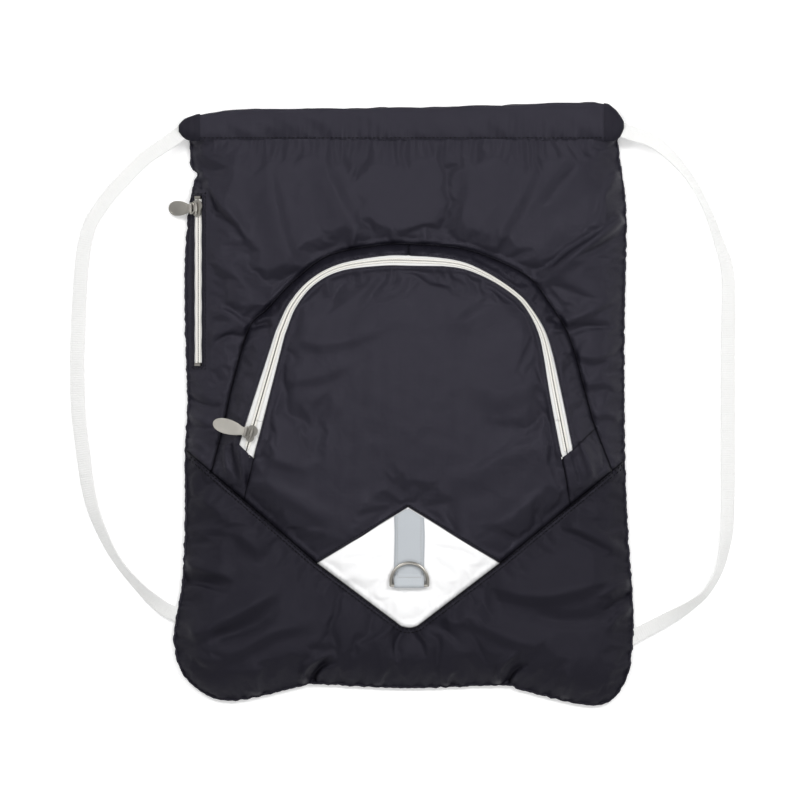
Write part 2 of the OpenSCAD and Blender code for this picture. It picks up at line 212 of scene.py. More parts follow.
def math_node(tree, operation, a, b):
    """The result of a sum on two values, each a number or another node's output."""
    n = tree.nodes.new("ShaderNodeMath")
    n.operation = operation
    for slot, value in zip(n.inputs, (a, b)):
        if isinstance(value, (int, float)):
            slot.default_value = value
        else:
            tree.links.new(value, slot)
    return n.outputs[0]


def uneven(tree, pattern, middle, spread):
    """A value that varies about middle with a pattern."""
    return math_node(tree, "ADD", math_node(tree, "MULTIPLY", pattern, spread), middle - spread / 2)


def mixed(tree, share, first, second):
    """A colour between two others, each a fixed colour or another node's output."""
    mix = node(tree, "ShaderNodeMix", data_type="RGBA")
    tree.links.new(share, mix.inputs[0])
    for slot, value in ((mix.inputs[6], first), (mix.inputs[7], second)):
        if isinstance(value, tuple):
            slot.default_value = (*value, 1)
        else:
            tree.links.new(value, slot)
    return mix.outputs[2]


def coordinates(tree):
    """Place in the object's own space."""
    return tree.nodes.new("ShaderNodeTexCoord").outputs["Object"]


def noise(tree, where, **values):
    """A noise pattern's value."""
    n = node(tree, "ShaderNodeTexNoise", **values)
    tree.links.new(where, n.inputs["Vector"])
    return n.outputs["Fac"]


def relief(tree, height, strength, distance, under=None):
    """Shaded relief from a height pattern, on top of another relief if one is given."""
    n = node(tree, "ShaderNodeBump", Strength=strength, Distance=distance * MM)
    tree.links.new(height, n.inputs["Height"])
    if under is not None:
        tree.links.new(under, n.inputs["Normal"])
    return n.outputs["Normal"]


def threads(tree, where, axis, pitch):
    """Wave bands across one axis, one band for each thread."""
    wave = node(tree, "ShaderNodeTexWave", wave_type="BANDS", bands_direction=axis)
    wave.inputs["Scale"].default_value = math.pi / (10 * pitch * MM)
    tree.links.new(where, wave.inputs["Vector"])
    return wave.outputs["Fac"]


CREASE_SHADE = 0.93  # share of a seam's colour and gloss that the painted shade in its crease takes away
# Near-black colour of the painted shade in the seams' creases
CREASE_SHADE_COLOR = (0.0015, 0.0015, 0.002)


def fabric(name, color, dark, roughness, pitch, weave, crumple, sheen=0.1, coat=0.0, gloss=0.5,
           tint=(1, 1, 1)):
    """Woven cloth: two sets of threads, a fine crumple, a soft change of colour over the cloth, and painted
    shade in its creases that darkens colour and gloss.
    """
    m, tree, bsdf = new_material(name)
    where = coordinates(tree)
    cloth = math_node(tree, "ADD", threads(tree, where, "X", pitch), threads(tree, where, "Y", pitch))
    patch = noise(tree, where, Scale=28.0, Detail=5.0, Roughness=0.6)
    grain = noise(tree, where, Scale=900.0, Detail=2.0)
    shade = math_node(tree, "ADD", math_node(tree, "MULTIPLY", patch, 0.7),
                      math_node(tree, "MULTIPLY", grain, 0.3))
    # Painted shade: the crease attribute pulls the colour towards near black and takes away gloss
    painted_crease_shade = node(tree, "ShaderNodeAttribute", attribute_name="painted_crease_shade").outputs["Fac"]
    shade_share = math_node(tree, "MULTIPLY", painted_crease_shade, CREASE_SHADE)
    base = mixed(tree, shade_share, mixed(tree, shade, dark, color), CREASE_SHADE_COLOR)
    tree.links.new(base, bsdf.inputs["Base Color"])
    tree.links.new(uneven(tree, patch, roughness, 0.16), bsdf.inputs["Roughness"])
    left_over = math_node(tree, "SUBTRACT", 1.0, shade_share)
    tree.links.new(math_node(tree, "MULTIPLY", left_over, gloss), bsdf.inputs["Specular IOR Level"])
    set_inputs(bsdf, {"Specular Tint": (*tint, 1), "Sheen Weight": sheen, "Sheen Roughness": 0.35,
                      "Coat Weight": coat, "Coat Roughness": 0.4})
    fold = noise(tree, where, Scale=70.0, Detail=4.0, Roughness=0.55, Distortion=0.6)
    fine = relief(tree, cloth, weave, 0.1)
    tree.links.new(relief(tree, fold, crumple, 0.9, fine), bsdf.inputs["Normal"])
    return m


def metal(name, color, roughness):
    """Cast and brushed nickel, duller in patches."""
    m, tree, bsdf = new_material(name)
    patch = noise(tree, coordinates(tree), Scale=90.0, Detail=2.0, Roughness=0.5)
    dull = tuple(c * 0.72 for c in color)
    tree.links.new(mixed(tree, patch, dull, color), bsdf.inputs["Base Color"])
    tree.links.new(uneven(tree, patch, roughness, 0.2), bsdf.inputs["Roughness"])
    tree.links.new(relief(tree, patch, 0.06, 0.03), bsdf.inputs["Normal"])
    set_inputs(bsdf, {"Metallic": 1.0})
    return m


# Each fabric: light and dark colours, roughness, pitch of its threads, depth of its weave and its crumple
NYLON_TINT = (0.86, 0.82, 1.0)
NYLON = fabric("nylon", (0.0098, 0.0092, 0.0152), (0.0068, 0.0064, 0.0106), 0.4, 0.42, 0.5, 0.3, sheen=0.0,
               gloss=0.32, tint=NYLON_TINT)
NYLON_LOW = fabric("nylon_lower", (0.0074, 0.007, 0.0116), (0.0052, 0.0049, 0.0084), 0.42, 0.42, 0.5, 0.32,
                   sheen=0.0, gloss=0.22, tint=NYLON_TINT)
NYLON_DARK = fabric("nylon_inside", (0.009, 0.0086, 0.0115), (0.007, 0.0066, 0.009), 0.6, 0.42, 0.5, 0.2)
WHITE = fabric("white_nylon", (0.98, 0.98, 0.98), (0.95, 0.95, 0.96), 0.4, 0.4, 0.35, 0.2, coat=0.1)
WEBBING = fabric("webbing", (0.9, 0.9, 0.89), (0.84, 0.84, 0.83), 0.75, 0.55, 0.9, 0.1, sheen=0.2)
TAPE = fabric("zip_tape", (0.88, 0.88, 0.87), (0.82, 0.82, 0.81), 0.7, 0.5, 0.9, 0.05, sheen=0.15)
COIL = fabric("zip_coil", (0.82, 0.8, 0.75), (0.76, 0.74, 0.69), 0.4, 0.6, 0.2, 0.05)
REFLECTIVE = fabric("reflective_tape", (0.5, 0.53, 0.56), (0.45, 0.48, 0.51), 0.5, 0.3, 0.3, 0.08)
# Black thread, painted darker than the cloth so that it also stands for the shade in the stitch holes
THREAD_WITH_PAINTED_SHADE = fabric("dark_thread_painted_shade", (0.0022, 0.0022, 0.003), (0.0012, 0.0012, 0.0018), 0.8, 0.3, 0.4, 0.0,
                gloss=0.1)
PALE_THREAD = fabric("pale_thread", (0.5, 0.5, 0.49), (0.42, 0.42, 0.41), 0.7, 0.3, 0.4, 0.0)
NICKEL = metal("nickel", (0.5, 0.48, 0.44), 0.34)


# ---- meshes ----
def finish_mesh(name, verts, faces, material, normals=None, painted_crease_shade=None):
    """An object made of the faces, in metres, with its material, and normals and painted crease shade for its
    points.
    """
    mesh = bpy.data.meshes.new(name)
    mesh.from_pydata((np.asarray(verts, float) * MM).tolist(), [], [list(map(int, f)) for f in faces])
    mesh.materials.append(material)
    mesh.polygons.foreach_set("use_smooth", [True] * len(mesh.polygons))
    mesh.update()
    if normals is not None:
        loops = np.zeros(len(mesh.loops), int)
        mesh.loops.foreach_get("vertex_index", loops)
        mesh.normals_split_custom_set(np.asarray(normals, float)[loops].tolist())
    # The painted crease shade goes on as a point attribute that the cloth materials read
    if painted_crease_shade is not None:
        mesh.attributes.new("painted_crease_shade", "FLOAT", "POINT").data.foreach_set("value", painted_crease_shade.astype(np.float32))
    obj = bpy.data.objects.new(name, mesh)
    bpy.context.scene.collection.objects.link(obj)
    return obj


def vertex_normals(verts, tris):
    """Upward direction of a sheet at each of its points; straight up at points that no triangle uses."""
    face = np.cross(verts[tris[:, 1]] - verts[tris[:, 0]], verts[tris[:, 2]] - verts[tris[:, 0]])
    out = np.zeros_like(verts)
    for k in range(3):
        for axis in range(3):
            out[:, axis] += np.bincount(tris[:, k], face[:, axis], len(verts))
    out /= np.maximum(np.linalg.norm(out, axis=1), 1e-12)[:, None]
    out[np.linalg.norm(out, axis=1) < 0.5] = (0, 0, 1)
    return out


def shell_from(name, verts, normals, tris, thickness, material, painted_crease_shade=None):
    """A closed shell: the given surface, a copy of it thickness below, and a wall round every open edge."""
    used, tris = np.unique(tris, return_inverse=True)
    tris = tris.reshape(-1, 3)
    top = verts[used]
    up = normals[used]
    n = len(top)
    halves = np.vstack([tris[:, [0, 1]], tris[:, [1, 2]], tris[:, [2, 0]]])
    keys = set(map(tuple, halves.tolist()))
    open_edges = np.array([e for e in keys if (e[1], e[0]) not in keys])
    a, b = open_edges[:, 0], open_edges[:, 1]
    out = np.cross(top[b] - top[a], up[a])
    out /= np.maximum(np.linalg.norm(out, axis=1), 1e-9)[:, None]
    # The walls get corners of their own, so that their shading doesn't spoil the cloth's
    wall_verts = np.vstack([top[a], top[b], top[b] - thickness * up[b], top[a] - thickness * up[a]])
    m = len(a)
    start = 2 * n
    index = start + np.arange(m)
    quads = np.stack([index + m, index, index + 3 * m, index + 2 * m], axis=1)
    all_verts = np.vstack([top, top - thickness * up, wall_verts])
    all_normals = np.vstack([up, -up, out, out, out, out])
    faces = tris.tolist() + (tris[:, ::-1] + n).tolist() + quads.tolist()
    # Painted shade: the surface keeps its crease shade, the copy below gets none, and the walls get full painted
    # shade, near black
    if painted_crease_shade is not None:
        painted_crease_shade = np.concatenate([painted_crease_shade[used], np.zeros(n), np.ones(4 * m)])
    return finish_mesh(name, all_verts, faces, material, all_normals, painted_crease_shade)


def band_faces(count, around):
    """Faces of a skin through a number of rings, each with the same number of points."""
    faces = []
    for i in range(count - 1):
        for k in range(around):
            j = (k + 1) % around
            faces.append([i * around + k, i * around + j, (i + 1) * around + j, (i + 1) * around + k])
    return faces


def end_faces(count, around):
    """Faces that close the first and the last ring."""
    last = (count - 1) * around
    return [list(range(around))[::-1], list(range(last, last + around))]


def tube(name, rings, material, closed_ends=True):
    """A closed skin through rings of points: rings is (count, around, 3)."""
    size = rings.shape[:2]
    faces = band_faces(*size) + (end_faces(*size) if closed_ends else [])
    return finish_mesh(name, rings.reshape(-1, 3), faces, material)


def sweep(centres, across, up, section):
    """Rings along centres; section is (around, 2) or (count, around, 2) in the across and up directions."""
    section = np.asarray(section, float)
    if section.ndim == 2:
        section = np.repeat(section[None], len(centres), axis=0)
    return centres[:, None] + section[..., :1] * across[:, None] + section[..., 1:] * up[:, None]


def rounded_bar(half_w, half_t, steps=3):
    """Cross-section of a flat strip with round edges."""
    angles = np.linspace(-math.pi / 2, math.pi / 2, 2 * steps + 1)
    right = [(half_w - half_t + half_t * math.cos(a), half_t * math.sin(a)) for a in angles]
    left = [(-x, -y) for x, y in right]
    inner = half_w - half_t
    top = [(inner * f, half_t) for f in (0.5, 0.0, -0.5)]
    low = [(inner * f, -half_t) for f in (-0.5, 0.0, 0.5)]
    return np.array(right + top + left + low)


# ---- the front of the bag, seen from above ----
OUTLINE = curve([(-161.5, 200), (-161.2, 192), (-160.6, 178), (-155.5, 171.5), (-158.5, 164.5), (-162.4, 142),
                 (-165, 106.5), (-165, 62), (-163.5, 14), (-163.2, -5), (-165, -37.5), (-165, -85.5),
                 (-167, -133), (-172, -163), (-173, -183), (-163.5, -207), (-134, -222.5), (-80, -212),
                 (-69, -210), (0, -213), (73, -211), (88, -215), (142, -226), (163, -210), (169.5, -178),
                 (169, -142.5), (166, -101), (163.5, -40.5), (163, 49.5), (164.5, 139), (160.5, 177),
                 (157.5, 200)], GRID)
below = OUTLINE[OUTLINE[:, 1] < MOUTH_Y - 0.5]
OUTLINE = np.vstack([(below[0, 0], MOUTH_Y), below, (below[-1, 0], MOUTH_Y)])


def rippled(line):
    """The outline with the small in-and-out puckers of its sewn edge."""
    place = arc_length(line)
    wave = np.sin(TURN * place / 11 + 1.7 * np.sin(TURN * place / 47 + 1))
    fine = np.sin(TURN * place / 6.3 + 1.1 * np.sin(TURN * place / 31))
    swell = 0.6 + 0.4 * np.sin(TURN * place / 78 + 2.1)
    off = (0.4 * wave + 0.15 * fine) * swell * step01(place, 3, 12) * step01(place[-1] - place, 3, 12)
    return line + off[:, None] * left_normals(line)


OUTLINE = rippled(OUTLINE)
DIAMOND = {"left": (-67, -120), "top": (1.5, -78), "right": (70.5, -120)}
V_SEAM = np.vstack([path([(-172, -29.2), DIAMOND["left"], (-8, -164.2)], GRID)[:-1],
                    curve([(-8, -164.2), (-3.5, -167.4), (2.5, -168.6), (8, -167.4), (13, -164)], GRID)[:-1],
                    path([(13, -164), DIAMOND["right"], (172, -36.4)], GRID)])
GUSSET_SEAM = curve([(-147.5, -56), (-144.5, -46), (-136.5, -15), (-131, 11), (-118, 55.5), (-103.5, 71),
                     (-84, 91.5), (-58, 110.5), (-22, 118), (2, 119), (40, 116), (68, 107), (93, 93.5),
                     (106, 77), (119, 57), (126.5, 38), (134.5, 8), (142, -18), (153.5, -48), (155, -54)], GRID)
ZIP_POINTS = [(-94.2, 52.5), (-85, 73), (-70.5, 90), (-50, 101), (-20, 106), (2, 106.4), (37, 104),
              (60, 95.5), (81.4, 81.5), (92, 70), (101, 54), (106, 37), (111.5, 9), (120.5, -36)]
ZIP_START = (-119, -33)
ZIP_LINE = np.vstack([resampled([ZIP_START, ZIP_POINTS[0]], 1.0)[:-1], curve(ZIP_POINTS, 1.0)])
# How the zip lies at each of its points: its outward tilt in degrees, and how much of each tape shows
ZIP_TILT = [0, 8, 26, 40, 42, 36, 32, 40, 48, 55, 54, 44, 36, 24, 6]
ZIP_SHOWN = [6.6, 3.7, 3.4, 3.2, 3.4, 4.6, 4.9, 3.6, 3.0, 2.6, 2.8, 4.0, 4.4, 4.9, 4.6]


def zip_frames():
    """For each point of the pocket's zip: place along it, centre, outward and upward directions, and how
    much of each tape shows."""
    s = arc_length(ZIP_LINE)
    knots = [0.0]
    for p in ZIP_POINTS:
        knots.append(s[np.argmin(np.hypot(*(ZIP_LINE - p).T))])
    tilt = smoothed(np.radians(np.interp(s, knots, ZIP_TILT)), 12, 3)
    shown = smoothed(np.interp(s, knots, ZIP_SHOWN), 12, 3)
    flat = left_normals(ZIP_LINE)
    out = np.column_stack([flat * np.cos(tilt)[:, None], -np.sin(tilt)])
    up = np.column_stack([flat * np.sin(tilt)[:, None], np.cos(tilt)])
    centre = np.column_stack([ZIP_LINE, POCKET_Z + 0.35 - 0.8 * shown * np.sin(tilt)])
    return s, centre, out, up, shown


ZIP_S, ZIP_CENTRE, ZIP_OUT, ZIP_UP, ZIP_HALF = zip_frames()
EDGE_LIFT = 0.95  # height of the cloth's edges above the zip's tapes
OUTER_EDGE = ZIP_CENTRE + ZIP_HALF[:, None] * ZIP_OUT + EDGE_LIFT * ZIP_UP
INNER_EDGE = ZIP_CENTRE - ZIP_HALF[:, None] * ZIP_OUT + EDGE_LIFT * ZIP_UP
OUTER_2D = resampled(OUTER_EDGE, GRID)
INNER_2D = resampled(INNER_EDGE, GRID)

# The side pocket's zip: its middle line, its tilt, and the opening's ends and half width
SIDE_X = -155.5
SIDE_Z = 7.3
SIDE_TILT = math.radians(27.5)
SIDE_Y = (27.6, 155.4)
SIDE_HALF = 3.6
side_dx = SIDE_HALF * math.cos(SIDE_TILT)
SIDE_HOLE = [(SIDE_X - side_dx, SIDE_Y[0]), (SIDE_X + side_dx, SIDE_Y[0]),
             (SIDE_X + side_dx, SIDE_Y[1]), (SIDE_X - side_dx, SIDE_Y[1])]

left_end, right_end = (-114.0, -42.0), (117.2, -41)  # the zip band's tips
# Every seam line that cuts the front
LINES = {
    "outline": OUTLINE,
    "mouth": path([OUTLINE[-1], OUTLINE[0]], GRID),
    "v": V_SEAM,
    "gusset": GUSSET_SEAM,
    "outer": OUTER_2D[:, :2],
    "inner": INNER_2D[:, :2],
    "centre": path([(2, 120.5), (2, 108)], GRID),
    "zip_end_left": path([OUTER_2D[0, :2], left_end, INNER_2D[0, :2]], GRID),
    "zip_end_right": path([OUTER_2D[-1, :2], right_end, INNER_2D[-1, :2]], GRID),
    "corner_left": path([OUTER_2D[0, :2], (-143, -30.6)], GRID),
    "corner_right": path([OUTER_2D[-1, :2], (145, -16.4)], GRID),
    "foot_left": path([left_end, (-122, -76)], GRID),
    "foot_right": path([right_end, (123.4, -80)], GRID),
    "diamond": path([DIAMOND["left"], DIAMOND["top"], DIAMOND["right"]], GRID),
    "side_hole": path(SIDE_HOLE + [SIDE_HOLE[0]], GRID),
}
# One spot inside each piece of cloth
SEEDS = {"upper": (-60, 160), "lower": (0, -195), "gusset_left": (-129, -10), "gusset_right": (130, 0),
         "corner_left": (-131, -50), "corner_right": (138, -48), "face": (0, 20), "diamond": (-30, -125)}


MESH_MARGIN = 0.62  # free space round a seam's points, as a share of the mesh's spacing
GUIDE_MARGIN = 0.62  # free space round a guide's points, in mm


def triangulated(lines, spacing, guides=()):
    """A triangle mesh over the lines' outline. Returns points, triangles, and the edges that lie on lines.
    Guides are rows of loose points that refine the mesh beside a seam."""
    points, edges = [], []
    for line in lines.values():
        start = len(points)
        points.extend(line[:, :2].tolist())
        edges.extend([start + i, start + i + 1] for i in range(len(line) - 1))
    fixed = np.array(points)
    low, high = fixed.min(0) - spacing, fixed.max(0) + spacing
    rows = np.arange(low[1], high[1], spacing * 0.866)
    cells = []
    for r, y in enumerate(rows):
        xs = np.arange(low[0] + (r % 2) * spacing / 2, high[0], spacing)
        cells.append(np.column_stack([xs, np.full(len(xs), y)]))
    cells = np.vstack(cells)
    edge_a = fixed[[e[0] for e in edges]]
    edge_b = fixed[[e[1] for e in edges]]
    middle = (edge_a + edge_b) / 2
    marks = np.vstack([fixed, middle])
    rows = []
    for guide in guides:
        clear = np.ones(len(guide), bool)
        for start in range(0, len(marks), 400):
            gap = np.linalg.norm(guide[:, None] - marks[None, start: start + 400], axis=2).min(1)
            clear &= gap > GUIDE_MARGIN
        rows.append(guide[clear])
        marks = np.vstack([marks, guide[clear]])
    extra = np.vstack(rows) if rows else np.zeros((0, 2))
    # Drop grid points too near a line, by looking only at marks in the cells around them
    cell = MESH_MARGIN * spacing
    keep = np.ones(len(cells), bool)
    table = {}
    for x, y in marks:
        table.setdefault((int(x // cell), int(y // cell)), []).append((x, y))
    for i, (x, y) in enumerate(cells):
        cx, cy = int(x // cell), int(y // cell)
        for dx in (-1, 0, 1):
            for dy in (-1, 0, 1):
                for mx, my in table.get((cx + dx, cy + dy), ()):
                    if (mx - x) ** 2 + (my - y) ** 2 < cell * cell:
                        keep[i] = False
    every = points + extra.tolist() + cells[keep].tolist()
    result = delaunay_2d_cdt([Vector(p) for p in every], edges, [], 0, 1e-4)
    out_points = np.array([(p.x, p.y) for p in result[0]])
    tris = np.array([f for f in result[2] if len(f) == 3])
    on_line = {tuple(sorted(e)) for e, origin in zip(result[1], result[4]) if origin}
    return out_points, tris, on_line


def components(tris, walls):
    """A number for each triangle, the same for triangles joined across edges that aren't walls."""
    owner = {}
    parent = list(range(len(tris)))

    def root(i):
        while parent[i] != i:
            parent[i] = parent[parent[i]]
            i = parent[i]
        return i

    for i, (a, b, c) in enumerate(tris.tolist()):
        for edge in ((a, b), (b, c), (c, a)):
            key = (min(edge), max(edge))
            if key in walls:
                continue
            if key in owner:
                parent[root(i)] = root(owner[key])
            else:
                owner[key] = i
    return np.array([root(i) for i in range(len(tris))])


def holds(points, tris, spot):
    """Index of the triangle that holds a spot."""
    a, b, c = (points[tris[:, k]] for k in range(3))
    p = np.array(spot)

    def cross(u, v, w):
        return (v[:, 0] - u[:, 0]) * (w[1] - u[:, 1]) - (v[:, 1] - u[:, 1]) * (w[0] - u[:, 0])

    inside = (cross(a, b, p) >= 0) & (cross(b, c, p) >= 0) & (cross(c, a, p) >= 0)
    return int(np.argmax(inside))


def facing_up(points, tris):
    """The triangles, turned to face up, without those that have no area."""
    a, b, c = (points[tris[:, k]] for k in range(3))
    area = (b[:, 0] - a[:, 0]) * (c[:, 1] - a[:, 1]) - (b[:, 1] - a[:, 1]) * (c[:, 0] - a[:, 0])
    tris = tris.copy()
    tris[area < 0] = tris[area < 0][:, ::-1]
    return tris[np.abs(area) > 1e-6]


GUIDES = []
for key in ("v", "gusset", "diamond", "corner_left", "corner_right", "foot_left", "foot_right"):
    for away in (-1.0, 1.0):
        row = shifted(LINES[key], away)
        edge_gap, _, _ = nearest_on(row, OUTLINE)
        inside_bag = (edge_gap > 1.5) & (np.abs(row[:, 0]) < 163)
        GUIDES.append(row[inside_bag])
XY, TRIS, WALLS = triangulated(LINES, GRID, GUIDES)
TRIS = facing_up(XY, TRIS)
GROUP = components(TRIS, WALLS)
REGION = {name: GROUP == GROUP[holds(XY, TRIS, spot)] for name, spot in SEEDS.items()}
IN_REGION = {name: np.isin(np.arange(len(XY)), TRIS[mask]) for name, mask in REGION.items()}
IN_POCKET = ~(IN_REGION["upper"] | IN_REGION["lower"])
SHOWN_TRIS = TRIS[np.any(list(REGION.values()), axis=0)]


# ---- heights of the front ----
X, Y = XY[:, 0], XY[:, 1]
D_OUT, S_OUT, _ = nearest_on(XY, OUTLINE)
D_V, S_V, _ = nearest_on(XY, V_SEAM)
D_GUSSET, S_GUSSET, _ = nearest_on(XY, GUSSET_SEAM)
D_OUTER, S_OUTER, _ = nearest_on(XY, OUTER_2D)
D_INNER, S_INNER, _ = nearest_on(XY, INNER_2D)
D_SIDE, _, _ = nearest_on(XY, LINES["side_hole"])
# How deep the creases on the pocket are, which also sets how dark their painted shade is
CREASE_DEPTH_AND_SHADE = {"diamond": 0.8, "corner_left": 0.3, "corner_right": 0.8, "foot_left": 0.9, "foot_right": 0.9,
                "centre": 0.8}
D_LINE = {key: nearest_on(XY, LINES[key])[0] for key in CREASE_DEPTH_AND_SHADE}


def panel_height(x, y, d_edge):
    """Height of the two front panels: a pillow edge, flat in the middle, and sloping by the side zip."""
    reach = 25.0  # width of the rounded edge
    t = np.clip(d_edge / reach, 0, 1)
    pillow = np.sqrt(1 - (1 - t) ** 2)
    by_zip = step01(-x, 120, 140) * step01(y, 8, 28) * step01(-y, -175, -158)
    profile = pillow + (t - pillow) * by_zip
    return SEAM_Z + (BAG_Z - SEAM_Z) * profile


def plane_from(x, y, a, b, z, slope):
    """Height of a plane that holds the level line from a to b and rises to its left."""
    ax, ay = a
    bx, by = b
    length = math.hypot(bx - ax, by - ay)
    dist = ((bx - ax) * (y - ay) - (by - ay) * (x - ax)) / length
    return z + slope * dist


FACE_FOOT = 16.4  # height of the face along the two arms of the V
FACE_SLOPE = 0.42  # how steeply it rises from them
FACE_RISE = 0.075  # and how gently its middle rises towards the top


def face_height(x, y):
    """Height of the pocket's face and diamond."""
    top = np.full_like(x, POCKET_Z) + 0.5
    gentle = POCKET_Z + FACE_RISE * (y + 30)
    left = plane_from(x, y, (-163, -37), DIAMOND["left"], FACE_FOOT, FACE_SLOPE)
    right = plane_from(x, y, DIAMOND["right"], (164, -43), FACE_FOOT, FACE_SLOPE)
    stack = np.stack([top, gentle, left, right])
    sharp = 1.2
    soft = -np.log(np.exp(-sharp * (stack - stack.min(0))).sum(0)) / sharp + stack.min(0)
    crown = 2.0 * np.exp(-((x / 75) ** 2) - ((y - 28) / 48) ** 2)
    under_strip = np.exp(-(((x - STRIP_X) / 22) ** 6) - ((y + 108) / 36) ** 6)
    return soft + crown + under_strip * (gentle - 0.25 - soft - crown)


def solve_heights(tris, spacing, target, length, push, pinned, pin_z):
    """Heights of a stretched skin with some points pinned. The rest is pushed up, and is drawn to target
    over the given length."""
    pairs = np.unique(np.sort(np.vstack([tris[:, [0, 1]], tris[:, [1, 2]], tris[:, [2, 0]]]), axis=1), axis=0)
    a, b = pairs[:, 0], pairs[:, 1]
    n = len(target)
    cell = 1.5 * spacing**2
    hold = cell / length**2

    def apply(z):
        diff = z[a] - z[b]
        out = np.bincount(a, diff, n) - np.bincount(b, diff, n) + hold * z
        out[pinned] = z[pinned]
        return out

    free = ~pinned
    z = np.where(pinned, pin_z, target)
    wanted = hold * target + cell * push
    wanted[pinned] = pin_z[pinned]
    rest = wanted - apply(z)
    rest[pinned] = 0
    step = rest.copy()
    size = rest @ rest
    for _ in range(900):
        moved = apply(step)
        moved[pinned] = 0
        gain = size / max(step @ moved, 1e-20)
        z[free] += gain * step[free]
        rest = rest - gain * moved
        new_size = rest @ rest
        if new_size < 1e-7:
            break
        step = rest + (new_size / size) * step
        size = new_size
    return z


ZIP_END_Z = (29.3, 29.5, 29.3)  # heights across each end of the zip band
V_TOP, MOUTH_TOP = 16.0, 13.6  # greatest heights of the V seam and of the mouth's edge
# The length over which the cloth is drawn to its target height: a short one holds it firmly
PANEL_GIVE, FACE_GIVE, FIRM_GIVE, FREE_GIVE = 7.0, 9.0, 2.5, 400.0
GUSSET_PUSH = 0.05  # how strongly the gussets are blown out


def front_heights():
    """Heights of the whole front, stretched between its seams, and which points are held there."""
    panel = panel_height(X, Y, D_OUT)
    face = face_height(X, Y)
    target = panel.copy()
    length = np.full(len(X), PANEL_GIVE)
    push = np.zeros(len(X))
    on_face = IN_REGION["face"] | IN_REGION["diamond"]
    target[on_face] = face[on_face]
    length[on_face] = FACE_GIVE
    length[(np.abs(X - STRIP_X) < 18) & (Y < -72) & (Y > -146)] = FIRM_GIVE
    by_side_zip = D_SIDE < 6
    side_lip = SIDE_Z + (X - SIDE_X) * math.tan(SIDE_TILT) + 1.0
    target[by_side_zip] = side_lip[by_side_zip]
    length[by_side_zip] = FIRM_GIVE
    for name in ("gusset_left", "gusset_right", "corner_left", "corner_right"):
        length[IN_REGION[name]] = FREE_GIVE
        push[IN_REGION[name]] = GUSSET_PUSH
    pinned = np.zeros(len(X), bool)
    pin_z = np.zeros(len(X))

    def pin(where, z):
        pinned[where] = True
        pin_z[where] = z[where] if np.ndim(z) else z

    near = 0.05
    pin(D_GUSSET < near, panel - 0.2)
    pin(D_V < near, np.minimum(panel + 0.6, V_TOP))
    pin(D_OUTER < near, np.interp(S_OUTER, np.linspace(0, 1, len(OUTER_2D)), OUTER_2D[:, 2]))
    pin(D_INNER < near, np.interp(S_INNER, np.linspace(0, 1, len(INNER_2D)), INNER_2D[:, 2]))
    for key in ("zip_end_left", "zip_end_right"):
        d, s, _ = nearest_on(XY, LINES[key])
        pin(d < near, np.interp(s, [0, 0.5, 1], ZIP_END_Z))
    pin(D_OUT < near, SEAM_Z)
    d_mouth, _, _ = nearest_on(XY, LINES["mouth"])
    pin(d_mouth < near, np.minimum(panel, MOUTH_TOP))
    pin(D_SIDE < near, side_lip)
    z = solve_heights(TRIS, GRID, target, length, push, pinned, pin_z)
    return z, pinned


FRONT_Z, PINNED = front_heights()


# ---- folds ----
def fold_field(xy, folds):
    """Heights that the folds add at each place."""
    total = np.zeros(len(xy))
    for points, width, height, fade in folds:
        line = curve(points, 3.0) if len(points) > 2 else resampled(points, 3.0)
        low, high = line.min(0) - 3.2 * width, line.max(0) + 3.2 * width
        near = np.all((xy > low) & (xy < high), axis=1)
        if not near.any():
            continue
        d, s, side = nearest_on(xy[near], line)
        ends = step01(s, 0, fade[0]) if fade[0] else 1.0
        ends = ends * (step01(1 - s, 0, fade[1]) if fade[1] else 1.0)
        skew = 1 + 0.35 * side
        total[near] += height * np.exp(-((d / (width * skew)) ** 2)) * ends
    return total


